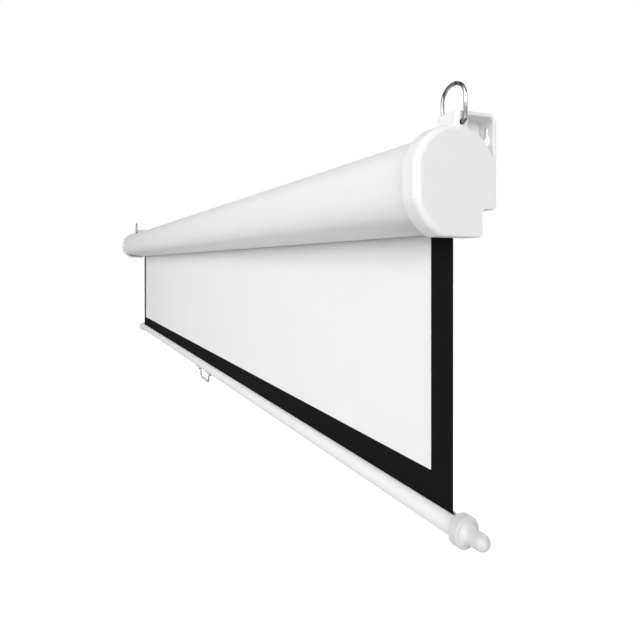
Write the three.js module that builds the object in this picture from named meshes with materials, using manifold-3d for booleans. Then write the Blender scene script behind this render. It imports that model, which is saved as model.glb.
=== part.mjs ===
// Manual pull-down projection screen, hung on a wall by keyholes or from a ceiling by rings.
// Millimetres, +Z up, -Y towards the audience, +X along the case to its spring end.
// The origin is on the wall, half way between the screws that the two keyholes hang on.
// The pieces are drawn about the roller's axis, and the whole screen is then set on the wall.
import * as THREE from 'three';
import { mergeVertices } from 'three/addons/utils/BufferGeometryUtils.js';
import Module from 'manifold-3d';

const wasm = await Module();
wasm.setup();

// Clearances
const clearance = 0.3; // between pieces that touch, seat or run on each other
const overrun = 1; // how far a cutter passes what it cuts

// Smoothness: how many straight steps make each kind of curve
const degreesPerStep = 9;
const filletSteps = 3;
const roundSteps = 3;
const turnedSides = 24;
const smallSides = 12;
const wireSides = 8;
const ringSteps = 36;
const handleSteps = 44;

// Cloth and its black border
const clothWidth = 1524;
const clothThickness = 0.6;
const borderThickness = 0.4;
const sideBorder = 27.6;
const bottomBorder = 27.6;
const shownDrop = 242.8; // from the caps' underside to the top of the bottom bar

// Roller with the cloth still wound on it
const rollerRadius = 21.5;
const rollerWall = 0.8;
const rollerOverhang = 6; // past the cloth at each end
const rollRadius = 26.2;

// End caps, measured from the roller's axis
const capRadius = 46.8;
const capFront = 44.7;
const capUnderside = 43.2;
const axisToWall = 44;
const axisToScrew = 50;
const capOverhang = 33.4; // from the cloth's edge to the cap's outer face
const capDepth = 18;
const faceWall = 3;
const skirtWall = 4.5;
const flangeWall = 4;
const flangeBottom = 19.5;
const rearStep = 27.5; // wall side of the cap below the flange
const rearCornerRound = 5;
const stepRound = 4;
const flangeCornerRound = 4;
const earTop = 58.5;
const flangeTop = 62; // the top rises from the ear to the wall
const topCornerRound = 9;
const rimRound = 5.3;
const edgeRound = 1.5;

// Ear that the hanging ring goes through, and the pocket behind it
const earFront = 2.5;
const earRear = 10;
const earCornerRound = 3;
const pocketRound = 3;
const webWall = 2.5;
const hoodReach = 4; // how far the ear's front wall runs on over the case
const hoodWall = 2;
const hoodBottom = 48.5;

// Keyhole in the flange
const keyholeSlotWidth = 5;
const keyholeHeadRadius = 5;
const keyholeTravel = 10; // from the head's hole up to the seated screw

// Hanging ring
const ringWire = 3.2;
const ringSpan = 25.2; // between the two legs' centres
const ringPivotSide = 3;
const ringPivotHeight = 49;
const ringHoleRadius = 2.3;
const ringTop = 82.4; // centre of the wire at the top of the ring
const ringBend = 2.8;
const ringButtGap = 0.8;

// Case, rolled from steel sheet, with its mouth down behind
const caseWall = 0.8;
const caseEndInset = 11; // from the caps' outer face to the end of the case
const creaseDrop = 31; // where the round front ends and the flat underside starts
const frontLip = 18.5;
const rearLip = 12.5;
const lipBead = 1.7;

// Screws that hold the caps on the case, through the flange into the case's back
const capScrewInset = 14.5; // from the caps' outer face
const capScrewSpread = 7;
const capScrewShank = 1.7;
const capScrewHead = 3.4;
const capScrewHeadDepth = 1.9;
const capScrewLength = 8;

// Bracket plates inside the caps, and their screws
const plateThickness = 2;
const plateWidth = 58;
const plateHeight = 26;
const plateRound = 6;
const plateInset = 8; // from the caps' outer face to the plate's outer face
const bossRadius = 5;
const bossSpread = 22;
const plateScrewShank = 1.5;
const plateScrewHead = 3.2;
const plateScrewHeadDepth = 1.8;
const plateScrewRimDepth = 1.1; // straight side of the head
const plateScrewCrown = 2.6; // flat top of the head
const plateScrewLength = 5.5;

// Fixed spindle of the spring end, with the flat tang that the plate holds
const spindleRadius = 4;
const spindleLength = 470;
const tangThickness = 3.2;
const tangHeight = 7.2;
const tangLength = 9;
const tangPast = 2.5; // how far the tang passes the plate

// Spring and the anchor that holds its fixed end
const anchorThickness = 12;
const anchorHubRadius = 7.5;
const anchorHubLength = 9;
const anchorRunningGap = 0.6;
const springWire = 2;
const springRadius = 12.5; // centre of the wire
const springTurns = 24;
const springStepsPerTurn = 8;
const springSides = 5;
const springHookDepth = 5;

// Ratchet on the spindle and the two pawls on the roller's plug
const ratchetTeeth = 6;
const ratchetTip = 9.5;
const ratchetRoot = 6.8;
const ratchetThickness = 4;
const ratchetGap = 1.4; // between the plug's flange and the ratchet
const rampSteps = 4;
const pawlPivotSide = 11.9;
const pawlPivotHeight = 10;
const pawlBossRadius = 2.6;
const pawlNoseLow = 7.6;
const pawlNoseHigh = 9.4;
const pawlArmHigh = 11.8;
const pawlThickness = 3.4;
const pawlLiftDegrees = 15; // how far the pawls are drawn lifted off the ratchet
const pawlPinRadius = 1.2;
const pawlPinHead = 2.2;
const pawlPinHeadDepth = 0.9;
const pawlPinSeat = 2.4;

// Plugs in the roller's ends
const plugSpigot = 23;
const plugFlange = 2.9;
const plugFlangeRadius = 23;
const plugRound = 0.8;

// Pin and bush of the idle end
const pinRadius = 4;
const pinSeat = 18;
const pinPast = 4; // how far the pin passes the plate
const pinChamfer = 1;
const bushWall = 2.7;
const bushFlange = 1.3;
const bushFlangeRadius = 9.5;

// Bottom bar with the rod that keeps the hem in it
const barRadius = 10;
const barWall = 1;
const barOverhang = 7; // past the cloth at each end
const barSlot = 3.6;
const rodRadius = 3;

// Plugs in the bar's ends: a collar, a shoulder that tapers, and a round tip
const collarRadius = 14.2;
const collarLength = 10;
const collarRound = 2;
const shoulderRadius = 12.2;
const shoulderLength = 3;
const taperLength = 3.5;
const tipRadius = 7.5;
const tipLength = 15.2;

// Pull handle, a wire bail in two clips under the bar
const handleSpan = 78;
const handleWire = 3;
const handleLeg = 17;
const handleBend = 3.5;
const gripRadius = 3.1;
const gripLength = 46;
const handleButt = 4.5; // how far the wire's ends pass through the clips
const clipWidth = 12;
const clipWall = 1.5;
const clipHalfDegrees = 62;
const lugThickness = 3;
const lugRadius = 3.6;
const lugDrop = 4.4; // from the bar's underside to the hole's centre

// Places along the screen that several pieces share
const clothEnd = clothWidth / 2;
const capFace = clothEnd + capOverhang;
const capInner = capFace - capDepth;
const faceInner = capFace - faceWall;
const caseEnd = capFace - caseEndInset;
const plateOuter = capFace - plateInset;
const plateInner = plateOuter - plateThickness;
const rollerEnd = clothEnd + rollerOverhang;
const plugOuter = rollerEnd + clearance + plugFlange;
const ratchetInner = plugOuter + ratchetGap;
const ratchetOuter = ratchetInner + ratchetThickness;
const spindleEnd = plateInner - clearance;
const anchorInner = spindleEnd - spindleLength;
const earMiddle = capFace - capDepth / 2;

// Places across the screen, from the roller's axis
const borderFront = rollRadius + clearance;
const clothFront = borderFront + borderThickness;
const clothMiddle = clothFront + clothThickness / 2;
const barDrop = capUnderside + shownDrop + barRadius;
const clipHole = barRadius + lugDrop;

const degree = Math.PI / 180;

// A section's own x and y become Y and Z, and its depth runs along X
const sectionAlongX = new THREE.Matrix4().set(0, 0, 1, 0, 1, 0, 0, 0, 0, 1, 0, 0, 0, 0, 0, 1);
// A lathe's upright axis becomes X
const latheAboutX = new THREE.Matrix4().set(0, 1, 0, 0, 0, 0, 1, 0, 1, 0, 0, 0, 0, 0, 0, 1);

// Points of a circle about the origin, or about a centre, both ends included
function arc(radius, from, to, centre = [0, 0]) {
  const steps = Math.max(2, Math.ceil(Math.abs(to - from) / (degreesPerStep * degree)));
  return Array.from({ length: steps + 1 }, (_, i) => {
    const angle = from + ((to - from) * i) / steps;
    return new THREE.Vector2(centre[0] + radius * Math.cos(angle), centre[1] + radius * Math.sin(angle));
  });
}

// Points of a polygon whose corners, each [y, z, radius], are rounded where they have a radius
function filleted(corners) {
  return corners.flatMap(([y, z, radius], i) => {
    const corner = new THREE.Vector2(y, z);
    if (!radius) return [corner];
    const [beforeY, beforeZ] = corners[(i + corners.length - 1) % corners.length];
    const [afterY, afterZ] = corners[(i + 1) % corners.length];
    const back = new THREE.Vector2(beforeY, beforeZ).sub(corner).normalize();
    const ahead = new THREE.Vector2(afterY, afterZ).sub(corner).normalize();
    const half = Math.acos(back.dot(ahead)) / 2;
    const inward = back.clone().add(ahead).normalize();
    const centre = corner.clone().addScaledVector(inward, radius / Math.sin(half));
    const start = back.multiplyScalar(radius / Math.tan(half)).add(corner).sub(centre);
    const sweep = (Math.PI - 2 * half) * Math.sign(start.cross(corner.clone().sub(centre)));
    return Array.from({ length: filletSteps + 1 }, (_, k) =>
      start.clone().rotateAround(new THREE.Vector2(), (sweep * k) / filletSteps).add(centre));
  });
}

// A section extruded along X, its end edges rounded where a round is given
function prism(outline, from, to, round = 0, hole = null) {
  const shape = new THREE.Shape(outline);
  if (hole) shape.holes.push(new THREE.Path(hole));
  const geometry = new THREE.ExtrudeGeometry(shape, {
    depth: to - from - 2 * round,
    steps: 1,
    bevelEnabled: round > 0,
    bevelThickness: round,
    bevelSize: round,
    bevelOffset: -round,
    bevelSegments: roundSteps,
  });
  return geometry.translate(0, 0, from + round).applyMatrix4(sectionAlongX);
}

// A solid of revolution about X, from [place along X, radius] points in order of X
function turned(profile, sides = turnedSides) {
  const points = profile.map(([along, radius]) => new THREE.Vector2(radius, along));
  return new THREE.LatheGeometry(points, sides).applyMatrix4(latheAboutX);
}

// A plain rod or disc about X
function rod(radius, from, to, sides = smallSides) {
  return turned([[from, 0], [from, radius], [to, radius], [to, 0]], sides);
}

// A ring about X with a bore
function sleeve(radius, bore, from, to, sides = turnedSides) {
  return turned([[from, bore], [from, radius], [to, radius], [to, bore], [from, bore]], sides);
}

// A round wire along a list of points
function wire(points, radius, steps, sides = wireSides) {
  const section = new THREE.Shape(Array.from({ length: sides }, (_, i) =>
    new THREE.Vector2(radius, 0).rotateAround(new THREE.Vector2(), (i * 2 * Math.PI) / sides)));
  const extrudePath = new THREE.CatmullRomCurve3(points, false, 'centripetal');
  return new THREE.ExtrudeGeometry(section, { steps, bevelEnabled: false, extrudePath });
}

// The same piece for the other end of the screen
function mirrored(geometry) {
  const copy = (geometry.index ? geometry.toNonIndexed() : geometry.clone()).scale(-1, 1, 1);
  const position = copy.getAttribute('position');
  for (let i = 0; i < position.count; i += 3) {
    const [x, y, z] = [position.getX(i), position.getY(i), position.getZ(i)];
    position.setXYZ(i, position.getX(i + 1), position.getY(i + 1), position.getZ(i + 1));
    position.setXYZ(i + 1, x, y, z);
  }
  return copy;
}

// To and from the solids that can be joined and cut
function solid(geometry) {
  const bare = geometry.clone();
  bare.deleteAttribute('normal');
  bare.deleteAttribute('uv');
  const merged = mergeVertices(bare);
  return new wasm.Manifold(new wasm.Mesh({
    numProp: 3,
    vertProperties: Float32Array.from(merged.getAttribute('position').array),
    triVerts: Uint32Array.from(merged.getIndex().array),
  }));
}

function surface(manifold) {
  const { vertProperties, triVerts, numProp } = manifold.getMesh();
  const position = new Float32Array((vertProperties.length / numProp) * 3);
  for (let i = 0; i < position.length / 3; i++) {
    position.set(vertProperties.subarray(i * numProp, i * numProp + 3), i * 3);
  }
  const geometry = new THREE.BufferGeometry();
  geometry.setAttribute('position', new THREE.BufferAttribute(position, 3));
  geometry.setIndex(new THREE.BufferAttribute(triVerts, 1));
  return geometry;
}

const joined = (...geometries) => surface(geometries.map(solid).reduce((a, b) => a.add(b)));

function cut(geometry, ...cutters) {
  return surface(cutters.map(solid).reduce((a, b) => a.subtract(b), solid(geometry)));
}

// End cap: the drum, its flange on the wall, the ear and the pocket, as one silhouette
function capSilhouette() {
  const low = Math.PI + Math.asin(capUnderside / capRadius);
  const side = Math.acos(capFront / capRadius);
  return [
    ...filleted([
      [capRadius * Math.cos(low), -capUnderside],
      [rearStep, -capUnderside, rearCornerRound],
      [rearStep, -flangeBottom, stepRound],
      [axisToWall, -flangeBottom, flangeCornerRound],
      [axisToWall, flangeTop, topCornerRound],
      [-earFront, earTop, earCornerRound],
      [-earFront, Math.sqrt(capRadius ** 2 - earFront ** 2)],
    ]),
    ...arc(capRadius, Math.PI / 2 + Math.asin(earFront / capRadius), Math.PI - side).slice(1),
    ...arc(capRadius, Math.PI + side, low).slice(0, -1),
  ];
}

// The pocket between the drum, the ear, the top lip and the flange
function pocketOutline(spare = 0) {
  const radius = capRadius - spare;
  const right = axisToWall - flangeWall + spare;
  const left = earRear - spare;
  const top = flangeTop - flangeWall + spare;
  const leftTop = top - ((flangeTop - earTop) * (right - left)) / (axisToWall + earFront);
  return [
    ...arc(radius, Math.acos(left / radius), Math.acos(right / radius)),
    ...filleted([
      [right, radius * Math.sin(Math.acos(right / radius))],
      [right, top, topCornerRound - flangeWall],
      [left, leftTop, pocketRound],
      [left, radius * Math.sin(Math.acos(left / radius))],
    ]).slice(1, -1),
  ];
}

// A block whose edge rounds the drum's front and top, the ear's front, and less and less its underside
function rimBlock() {
  const side = Math.acos(capFront / capRadius);
  const lowEnd = Math.PI + Math.acos(rimRound / capRadius);
  const far = axisToWall + rimRound * 2;
  const high = flangeTop + rimRound * 2;
  const earSide = earFront + edgeRound;
  const outline = [
    new THREE.Vector2(far, -capRadius),
    new THREE.Vector2(far, high),
    new THREE.Vector2(-earSide, high),
    ...arc(capRadius, Math.PI / 2 + Math.asin(earSide / capRadius), Math.PI - side),
    ...arc(capRadius, Math.PI + side, lowEnd),
  ];
  return prism(outline, capInner - 2 * rimRound, capFace, rimRound);
}

// What the case slides into, and the case's own outside, as one family of outlines
function drumOutline(inset, wallInset) {
  const radius = capRadius - inset;
  const under = capUnderside - inset;
  const rear = axisToWall - wallInset;
  const low = Math.PI + Math.asin(under / radius);
  const side = Math.acos((capFront - inset) / radius);
  return [
    ...filleted([
      [radius * Math.cos(low), -under],
      [rearStep - inset, -under, rearCornerRound - inset],
      [rearStep - inset, -flangeBottom + inset, stepRound],
      [rear, -flangeBottom + inset],
    ]),
    ...arc(radius, Math.acos(rear / radius), Math.PI - side),
    ...arc(radius, Math.PI + side, low).slice(0, -1),
  ];
}

// Keyhole through the flange: a hole for the screw's head and a slot up to where it hangs
function keyhole() {
  const slot = keyholeSlotWidth / 2;
  const headCentre = axisToScrew - keyholeTravel;
  const neck = Math.asin(slot / keyholeHeadRadius);
  const outline = [
    ...arc(slot, 0, Math.PI, [0, axisToScrew]),
    ...arc(keyholeHeadRadius, Math.PI / 2 + neck, Math.PI * 2.5 - neck, [0, headCentre]),
  ];
  // Drawn along X, then turned to run through the flange along Y
  const cutter = prism(outline, -axisToWall - overrun, -axisToWall + flangeWall + overrun);
  return cutter.rotateZ(-Math.PI / 2).translate(earMiddle, 0, 0);
}

// Countersunk screw along X with its head's face at X = 0
function countersunk(head, depth, shank, length) {
  return turned([[-length, 0], [-length, shank], [-depth, shank], [0, head], [0, 0]], smallSides);
}

// The two cap screws of one end, grown by a clearance where they are cutters
function capScrewPair(grow = 0) {
  return [-1, 1].map((side) =>
    countersunk(capScrewHead + grow, capScrewHeadDepth + grow, capScrewShank + grow, capScrewLength + grow)
      .rotateZ(Math.PI / 2)
      .translate(capFace - capScrewInset, axisToWall - clearance + grow, side * capScrewSpread));
}

// Front wall of the ear where it runs on over the case, in front of the ring
function earHood() {
  const [front, rear] = [-earFront - overrun, hoodWall - earFront];
  const slice = filleted([[front, hoodBottom], [rear, hoodBottom], [rear, flangeTop], [front, flangeTop]]);
  return solid(prism(capSilhouette(), capInner - hoodReach, capInner + hoodReach, edgeRound))
    .intersect(solid(prism(slice, capInner - hoodReach - overrun, capInner + webWall)));
}

function endCap() {
  const shell = solid(prism(capSilhouette(), capInner, capFace, edgeRound, pocketOutline()))
    .intersect(solid(rimBlock()))
    .add(solid(prism(pocketOutline(clearance), capInner, capInner + webWall)))
    .add(earHood());
  const cavity = solid(prism(drumOutline(skirtWall, flangeWall), capInner - overrun, faceInner));
  const bosses = [-1, 1].map((side) =>
    solid(rod(bossRadius, plateOuter + clearance, faceInner + faceWall / 2).translate(0, side * bossSpread, 0))
      .subtract(solid(rod(plateScrewShank + clearance, plateInner, faceInner)
        .translate(0, side * bossSpread, 0))));
  const ringHole = rod(ringHoleRadius, capInner - overrun, capFace + overrun)
    .translate(0, ringPivotSide, ringPivotHeight);
  const hollow = bosses.reduce((body, boss) => body.add(boss), shell.subtract(cavity));
  return cut(surface(hollow), keyhole(), ringHole, ...capScrewPair(clearance));
}

// Hanging ring: up from the ear's hole, round the top and back, butted inside the hole
function hangingRing() {
  const half = ringSpan / 2;
  const straight = half - ringBend;
  const shoulder = ringTop - half;
  const foot = ringPivotHeight;
  const side = [
    ...arc(ringBend, -Math.PI / 2, 0, [straight, foot + ringBend]),
    ...arc(half, 0, Math.PI / 2, [0, shoulder]),
  ];
  const right = [new THREE.Vector2(ringButtGap / 2, foot), new THREE.Vector2(straight / 2, foot), ...side];
  const left = right.slice(0, -1).reverse().map((p) => new THREE.Vector2(-p.x, p.y));
  const points = [...right, ...left].map((p) => new THREE.Vector3(p.x, 0, p.y - foot));
  return wire(points, ringWire / 2, ringSteps);
}

// Case section: an outer and an inner path from the front lip over the top to the rear lip
function casePath(depth) {
  const inset = skirtWall + clearance + depth;
  const radius = capRadius - inset;
  const rear = axisToWall - flangeWall - clearance - depth;
  const under = capUnderside - inset;
  const side = Math.acos((capFront - inset) / radius);
  const crease = Math.PI + Math.asin(creaseDrop / radius);
  return [
    new THREE.Vector2(rear, -rearLip),
    ...arc(radius, Math.acos(rear / radius), Math.PI - side),
    ...arc(radius, Math.PI + side, crease),
    new THREE.Vector2(frontLip, -under),
  ];
}

function caseTube() {
  const strip = prism([...casePath(0), ...casePath(caseWall).reverse()], -caseEnd, caseEnd);
  const under = capUnderside - skirtWall - clearance;
  const rear = axisToWall - flangeWall - clearance;
  const bead = (y, z) => prism(arc(lipBead, 0, 2 * Math.PI, [y, z]).slice(1), -caseEnd, caseEnd);
  const rolled = joined(strip, bead(frontLip, -under + lipBead), bead(rear - lipBead, -rearLip));
  const screws = capScrewPair(clearance);
  return cut(rolled, ...screws, ...screws.map(mirrored));
}

// Bracket plate of the spring end, with an open slot for the tang
function bracketPlate(opening) {
  const [y, z] = [plateWidth / 2, plateHeight / 2];
  const corners = [[y, -z], [y, z], [-y, z], [-y, -z]];
  const outline = filleted(corners.map((corner) => [...corner, plateRound]));
  const screwHoles = [-1, 1].map((side) =>
    rod(plateScrewShank + clearance, plateInner - overrun, plateOuter + overrun)
      .translate(0, side * bossSpread, 0));
  return cut(prism(outline, plateInner, plateOuter), opening, ...screwHoles);
}

function tangSlot() {
  const side = tangThickness / 2 + clearance;
  const bottom = tangHeight / 2 + clearance;
  const top = plateHeight / 2 + overrun;
  const corners = [[side, -bottom], [side, top], [-side, top], [-side, -bottom]];
  return prism(filleted(corners), plateInner - overrun, plateOuter + overrun);
}

function plateScrewPair() {
  const head = plateInner - clearance;
  const profile = [
    [head - plateScrewHeadDepth, 0],
    [head - plateScrewHeadDepth, plateScrewCrown],
    [head - plateScrewRimDepth, plateScrewHead],
    [head, plateScrewHead],
    [head, plateScrewShank],
    [head + plateScrewLength, plateScrewShank],
    [head + plateScrewLength, 0],
  ];
  return [-1, 1].map((side) => turned(profile, smallSides).translate(0, side * bossSpread, 0));
}

// Fixed spindle with its flat tang
function springSpindle() {
  const [y, z] = [tangThickness / 2, tangHeight / 2];
  const tang = prism(filleted([[y, -z], [y, z], [-y, z], [-y, -z]]),
    spindleEnd - tangLength, plateOuter + tangPast);
  return joined(rod(spindleRadius, anchorInner, spindleEnd), tang);
}

// Anchor disc on the spindle's inner end, with a hub and the hole that the spring hooks into
function spindleAnchor() {
  const outer = rollerRadius - rollerWall - anchorRunningGap;
  const bore = spindleRadius + clearance;
  const disc = anchorInner + anchorThickness;
  const body = turned([
    [anchorInner, bore],
    [anchorInner, outer - plugRound],
    [anchorInner + plugRound, outer],
    [disc - plugRound, outer],
    [disc, outer - plugRound],
    [disc, anchorHubRadius],
    [disc + anchorHubLength, anchorHubRadius],
    [disc + anchorHubLength, bore],
    [anchorInner, bore],
  ]);
  const hook = rod(springWire / 2 + clearance, disc - springHookDepth - clearance, disc + overrun)
    .translate(0, springRadius, 0);
  return cut(body, hook);
}

// Torsion spring: a straight hook in the anchor, its turns, and a straight end at the plug
function torsionSpring() {
  const start = anchorInner + anchorThickness - springHookDepth;
  const firstTurn = anchorInner + anchorThickness + 2 * springWire;
  const end = rollerEnd - plugSpigot - clearance;
  const lastTurn = end - 2 * springWire;
  const steps = springTurns * springStepsPerTurn;
  const turns = Array.from({ length: steps + 1 }, (_, i) => {
    const angle = (i / springStepsPerTurn) * 2 * Math.PI;
    const along = firstTurn + ((lastTurn - firstTurn) * i) / steps;
    return new THREE.Vector3(along, springRadius * Math.cos(angle), springRadius * Math.sin(angle));
  });
  const hook = [start, firstTurn - springWire].map((x) => new THREE.Vector3(x, springRadius, 0));
  const tail = [lastTurn + springWire, end].map((x) => new THREE.Vector3(x, springRadius, 0));
  const gap = Math.min(...turns.slice(springStepsPerTurn).map((p, i) => p.distanceTo(turns[i]))) - springWire;
  console.log(`torsion_spring: least gap to itself ${gap.toFixed(2)} mm`);
  return wire([...hook, ...turns, ...tail], springWire / 2, steps + springStepsPerTurn, springSides);
}

// Ratchet: each tooth rises at once and runs down a ramp to the next
function ratchetWheel() {
  const pitch = (2 * Math.PI) / ratchetTeeth;
  const outline = Array.from({ length: ratchetTeeth * (rampSteps + 1) }, (_, i) => {
    const share = (i % (rampSteps + 1)) / rampSteps;
    const angle = Math.PI / 2 + pitch * (Math.floor(i / (rampSteps + 1)) + share);
    return new THREE.Vector2(ratchetTip + (ratchetRoot - ratchetTip) * share, 0)
      .rotateAround(new THREE.Vector2(), angle);
  });
  const hole = arc(spindleRadius + clearance, 0, 2 * Math.PI).slice(1);
  return prism(outline, ratchetInner, ratchetOuter, 0, hole);
}

// Pawl about its own pin, drawn with its nose in a tooth
function pawl() {
  const nose = clearance - pawlPivotSide;
  const low = pawlNoseLow - pawlPivotHeight;
  const high = pawlNoseHigh - pawlPivotHeight;
  const arm = prism([
    new THREE.Vector2(nose, low),
    new THREE.Vector2(0, low),
    new THREE.Vector2(0, pawlArmHigh - pawlPivotHeight),
    new THREE.Vector2(nose, high),
  ], -pawlThickness / 2, pawlThickness / 2);
  const boss = rod(pawlBossRadius, -pawlThickness / 2, pawlThickness / 2);
  const bore = rod(pawlPinRadius + clearance, -pawlThickness, pawlThickness);
  return cut(joined(arm, boss), bore);
}

// Pawl pin about X = 0, where the plug's flange ends
function pawlPin() {
  const head = ratchetOuter - plugOuter + clearance;
  return turned([
    [-pawlPinSeat, 0],
    [-pawlPinSeat, pawlPinRadius],
    [head, pawlPinRadius],
    [head, pawlPinHead],
    [head + pawlPinHeadDepth, pawlPinHead],
    [head + pawlPinHeadDepth, 0],
  ], smallSides);
}

// Plug in the roller's end with a bore through it
function rollerPlug(bore) {
  const spigot = rollerRadius - rollerWall - clearance;
  const shoulder = rollerEnd + clearance;
  return turned([
    [rollerEnd - plugSpigot, bore],
    [rollerEnd - plugSpigot, spigot - plugRound],
    [rollerEnd - plugSpigot + plugRound, spigot],
    [shoulder, spigot],
    [shoulder, plugFlangeRadius],
    [plugOuter - plugRound, plugFlangeRadius],
    [plugOuter, plugFlangeRadius - plugRound],
    [plugOuter, bore],
    [rollerEnd - plugSpigot, bore],
  ]);
}

function springPlug() {
  const seats = [1, -1].map((side) =>
    rod(pawlPinRadius + clearance, plugOuter - pawlPinSeat - clearance, plugOuter + overrun)
      .translate(0, side * pawlPivotSide, side * pawlPivotHeight));
  return cut(rollerPlug(spindleRadius + clearance), ...seats);
}

function idlePin() {
  const [from, to] = [plugOuter - pinSeat, plateOuter + pinPast];
  return turned([
    [from, 0],
    [from, pinRadius],
    [to - pinChamfer, pinRadius],
    [to, pinRadius - pinChamfer],
    [to, 0],
  ], smallSides);
}

function idleBush() {
  const bore = pinRadius + clearance;
  const flange = plateInner - clearance;
  return turned([
    [flange - bushFlange, bore],
    [flange - bushFlange, bushFlangeRadius],
    [flange, bushFlangeRadius],
    [flange, bore + bushWall],
    [plateOuter + overrun, bore + bushWall],
    [plateOuter + overrun, bore],
    [flange - bushFlange, bore],
  ]);
}

// Wound cloth: one outline whose radius steps down where the sheet leaves the roll
function fabricRoll() {
  const steps = turnedSides * 2;
  const outline = Array.from({ length: steps + 1 }, (_, i) =>
    new THREE.Vector2(rollRadius - (clothThickness * i) / steps, 0)
      .rotateAround(new THREE.Vector2(), (i * 2 * Math.PI) / steps));
  const bore = arc(rollerRadius + clearance, 0, 2 * Math.PI).slice(1);
  return prism(outline, -clothEnd, clothEnd, 0, bore);
}

// A flat panel of the hanging cloth: from one Y to another, inside left, right, bottom and top
function panel(front, rear, outline) {
  const geometry = new THREE.ExtrudeGeometry(new THREE.Shape(outline), {
    depth: rear - front,
    bevelEnabled: false,
  });
  return geometry.rotateX(Math.PI / 2).translate(0, rear, 0);
}

function screenFabric() {
  const low = -barDrop + barRadius;
  return panel(clothFront, clothFront + clothThickness, [
    new THREE.Vector2(-clothEnd, low),
    new THREE.Vector2(clothEnd, low),
    new THREE.Vector2(clothEnd, 0),
    new THREE.Vector2(-clothEnd, 0),
  ]);
}

// Black border down both sides and along the bottom
function blackBorder() {
  const low = -barDrop + barRadius + clearance;
  const inner = clothEnd - sideBorder;
  return panel(borderFront, clothFront, [
    new THREE.Vector2(-clothEnd, low),
    new THREE.Vector2(clothEnd, low),
    new THREE.Vector2(clothEnd, 0),
    new THREE.Vector2(inner, 0),
    new THREE.Vector2(inner, low + bottomBorder),
    new THREE.Vector2(-inner, low + bottomBorder),
    new THREE.Vector2(-inner, 0),
    new THREE.Vector2(-clothEnd, 0),
  ]);
}

// Bottom bar, a tube with a slot along its top
function bottomBar() {
  const inner = barRadius - barWall;
  const half = barSlot / 2;
  const outerEdge = Math.asin(half / barRadius);
  const innerEdge = Math.asin(half / inner);
  const outline = [
    ...arc(barRadius, Math.PI / 2 + outerEdge, Math.PI * 2.5 - outerEdge),
    ...arc(inner, Math.PI * 2.5 - innerEdge, Math.PI / 2 + innerEdge),
  ];
  return prism(outline, -clothEnd - barOverhang, clothEnd + barOverhang);
}

// Height of the hem's rod in the bar: as high as its sleeve of cloth can go
const hemRadius = rodRadius + clearance + clothThickness;
const hemHeight = barRadius - barWall - hemRadius - clearance;

// Hem: a sleeve of the cloth round the rod, with a neck up through the slot
function hemSleeve() {
  const half = clothThickness / 2;
  const neck = Math.asin(half / hemRadius);
  const outline = [
    new THREE.Vector2(half, barRadius),
    new THREE.Vector2(-half, barRadius),
    ...arc(hemRadius, Math.PI / 2 + neck, Math.PI * 2.5 - neck, [0, hemHeight]),
  ];
  const bore = arc(rodRadius + clearance, 0, 2 * Math.PI, [0, hemHeight]).slice(1);
  return prism(outline, -clothEnd, clothEnd, 0, bore);
}

// Bar end: a spigot in the bar's bore, then the collar, the shoulder, its taper and the tip
function barEnd() {
  const spigot = barRadius - barWall - clearance;
  const seat = clothEnd + barOverhang + clearance;
  const shoulder = seat + collarLength;
  const taper = shoulder + shoulderLength;
  const tip = taper + taperLength;
  const dome = tip + tipLength - tipRadius;
  return turned([
    [clothEnd + clearance, 0],
    [clothEnd + clearance, spigot],
    [seat, spigot],
    [seat, collarRadius - collarRound],
    [seat + collarRound / 2, collarRadius - collarRound / 4],
    [seat + collarRound, collarRadius],
    [shoulder - collarRound / 2, collarRadius],
    [shoulder, shoulderRadius],
    [taper, shoulderRadius],
    [tip, tipRadius],
    ...arc(tipRadius, 0, Math.PI / 2).map(({ x, y }) => [dome + y, x]),
  ]);
}

// Clips under the bar: a saddle and a lug with the hole that the handle's wire turns in
function handleClips() {
  const seat = barRadius + clearance;
  const [from, to] = [-Math.PI / 2 - clipHalfDegrees * degree, -Math.PI / 2 + clipHalfDegrees * degree];
  const saddle = [...arc(seat + clipWall, from, to), ...arc(seat, to, from)];
  const neckTop = seat + clipWall / 2;
  const lug = [
    new THREE.Vector2(lugRadius, -neckTop),
    new THREE.Vector2(-lugRadius, -neckTop),
    ...arc(lugRadius, Math.PI, 2 * Math.PI, [0, -clipHole]),
  ];
  return [-1, 1].map((side) => {
    const middle = (side * handleSpan) / 2;
    const body = joined(
      prism(saddle, middle - clipWidth / 2, middle + clipWidth / 2),
      prism(lug, middle - lugThickness / 2, middle + lugThickness / 2),
    );
    const hole = rod(handleWire / 2 + clearance, middle - lugThickness, middle + lugThickness)
      .translate(0, 0, -clipHole);
    return cut(body, hole);
  });
}

// Handle: a wire bail about its hinge line, in at one lug, down, straight across and up
function pullHandle() {
  const half = handleSpan / 2;
  const bend = half - lugThickness / 2 - clearance - handleBend;
  const corner = bend - 2 * handleBend;
  const right = [
    new THREE.Vector2(half + handleButt, 0),
    new THREE.Vector2(half, 0),
    ...arc(handleBend, Math.PI / 2, Math.PI, [bend, -handleBend]),
    ...arc(handleBend, 0, -Math.PI / 2, [corner, handleBend - handleLeg]),
    new THREE.Vector2(gripLength / 2, -handleLeg),
  ];
  const left = [...right].reverse().map((p) => new THREE.Vector2(-p.x, p.y));
  const middle = new THREE.Vector2(0, -handleLeg);
  const points = [...right, middle, ...left].map((p) => new THREE.Vector3(p.x, 0, p.y));
  return wire(points, handleWire / 2, handleSteps, smallSides / 2);
}

// Grip: a plastic sleeve on the handle's straight bottom
function handleGrip() {
  return sleeve(gripRadius, handleWire / 2 + clearance, -gripLength / 2, gripLength / 2, smallSides)
    .translate(0, 0, -handleLeg);
}

// Finishes
function finish(color, roughness, metalness = 0) {
  return new THREE.MeshStandardMaterial({ color, roughness, metalness });
}

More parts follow.
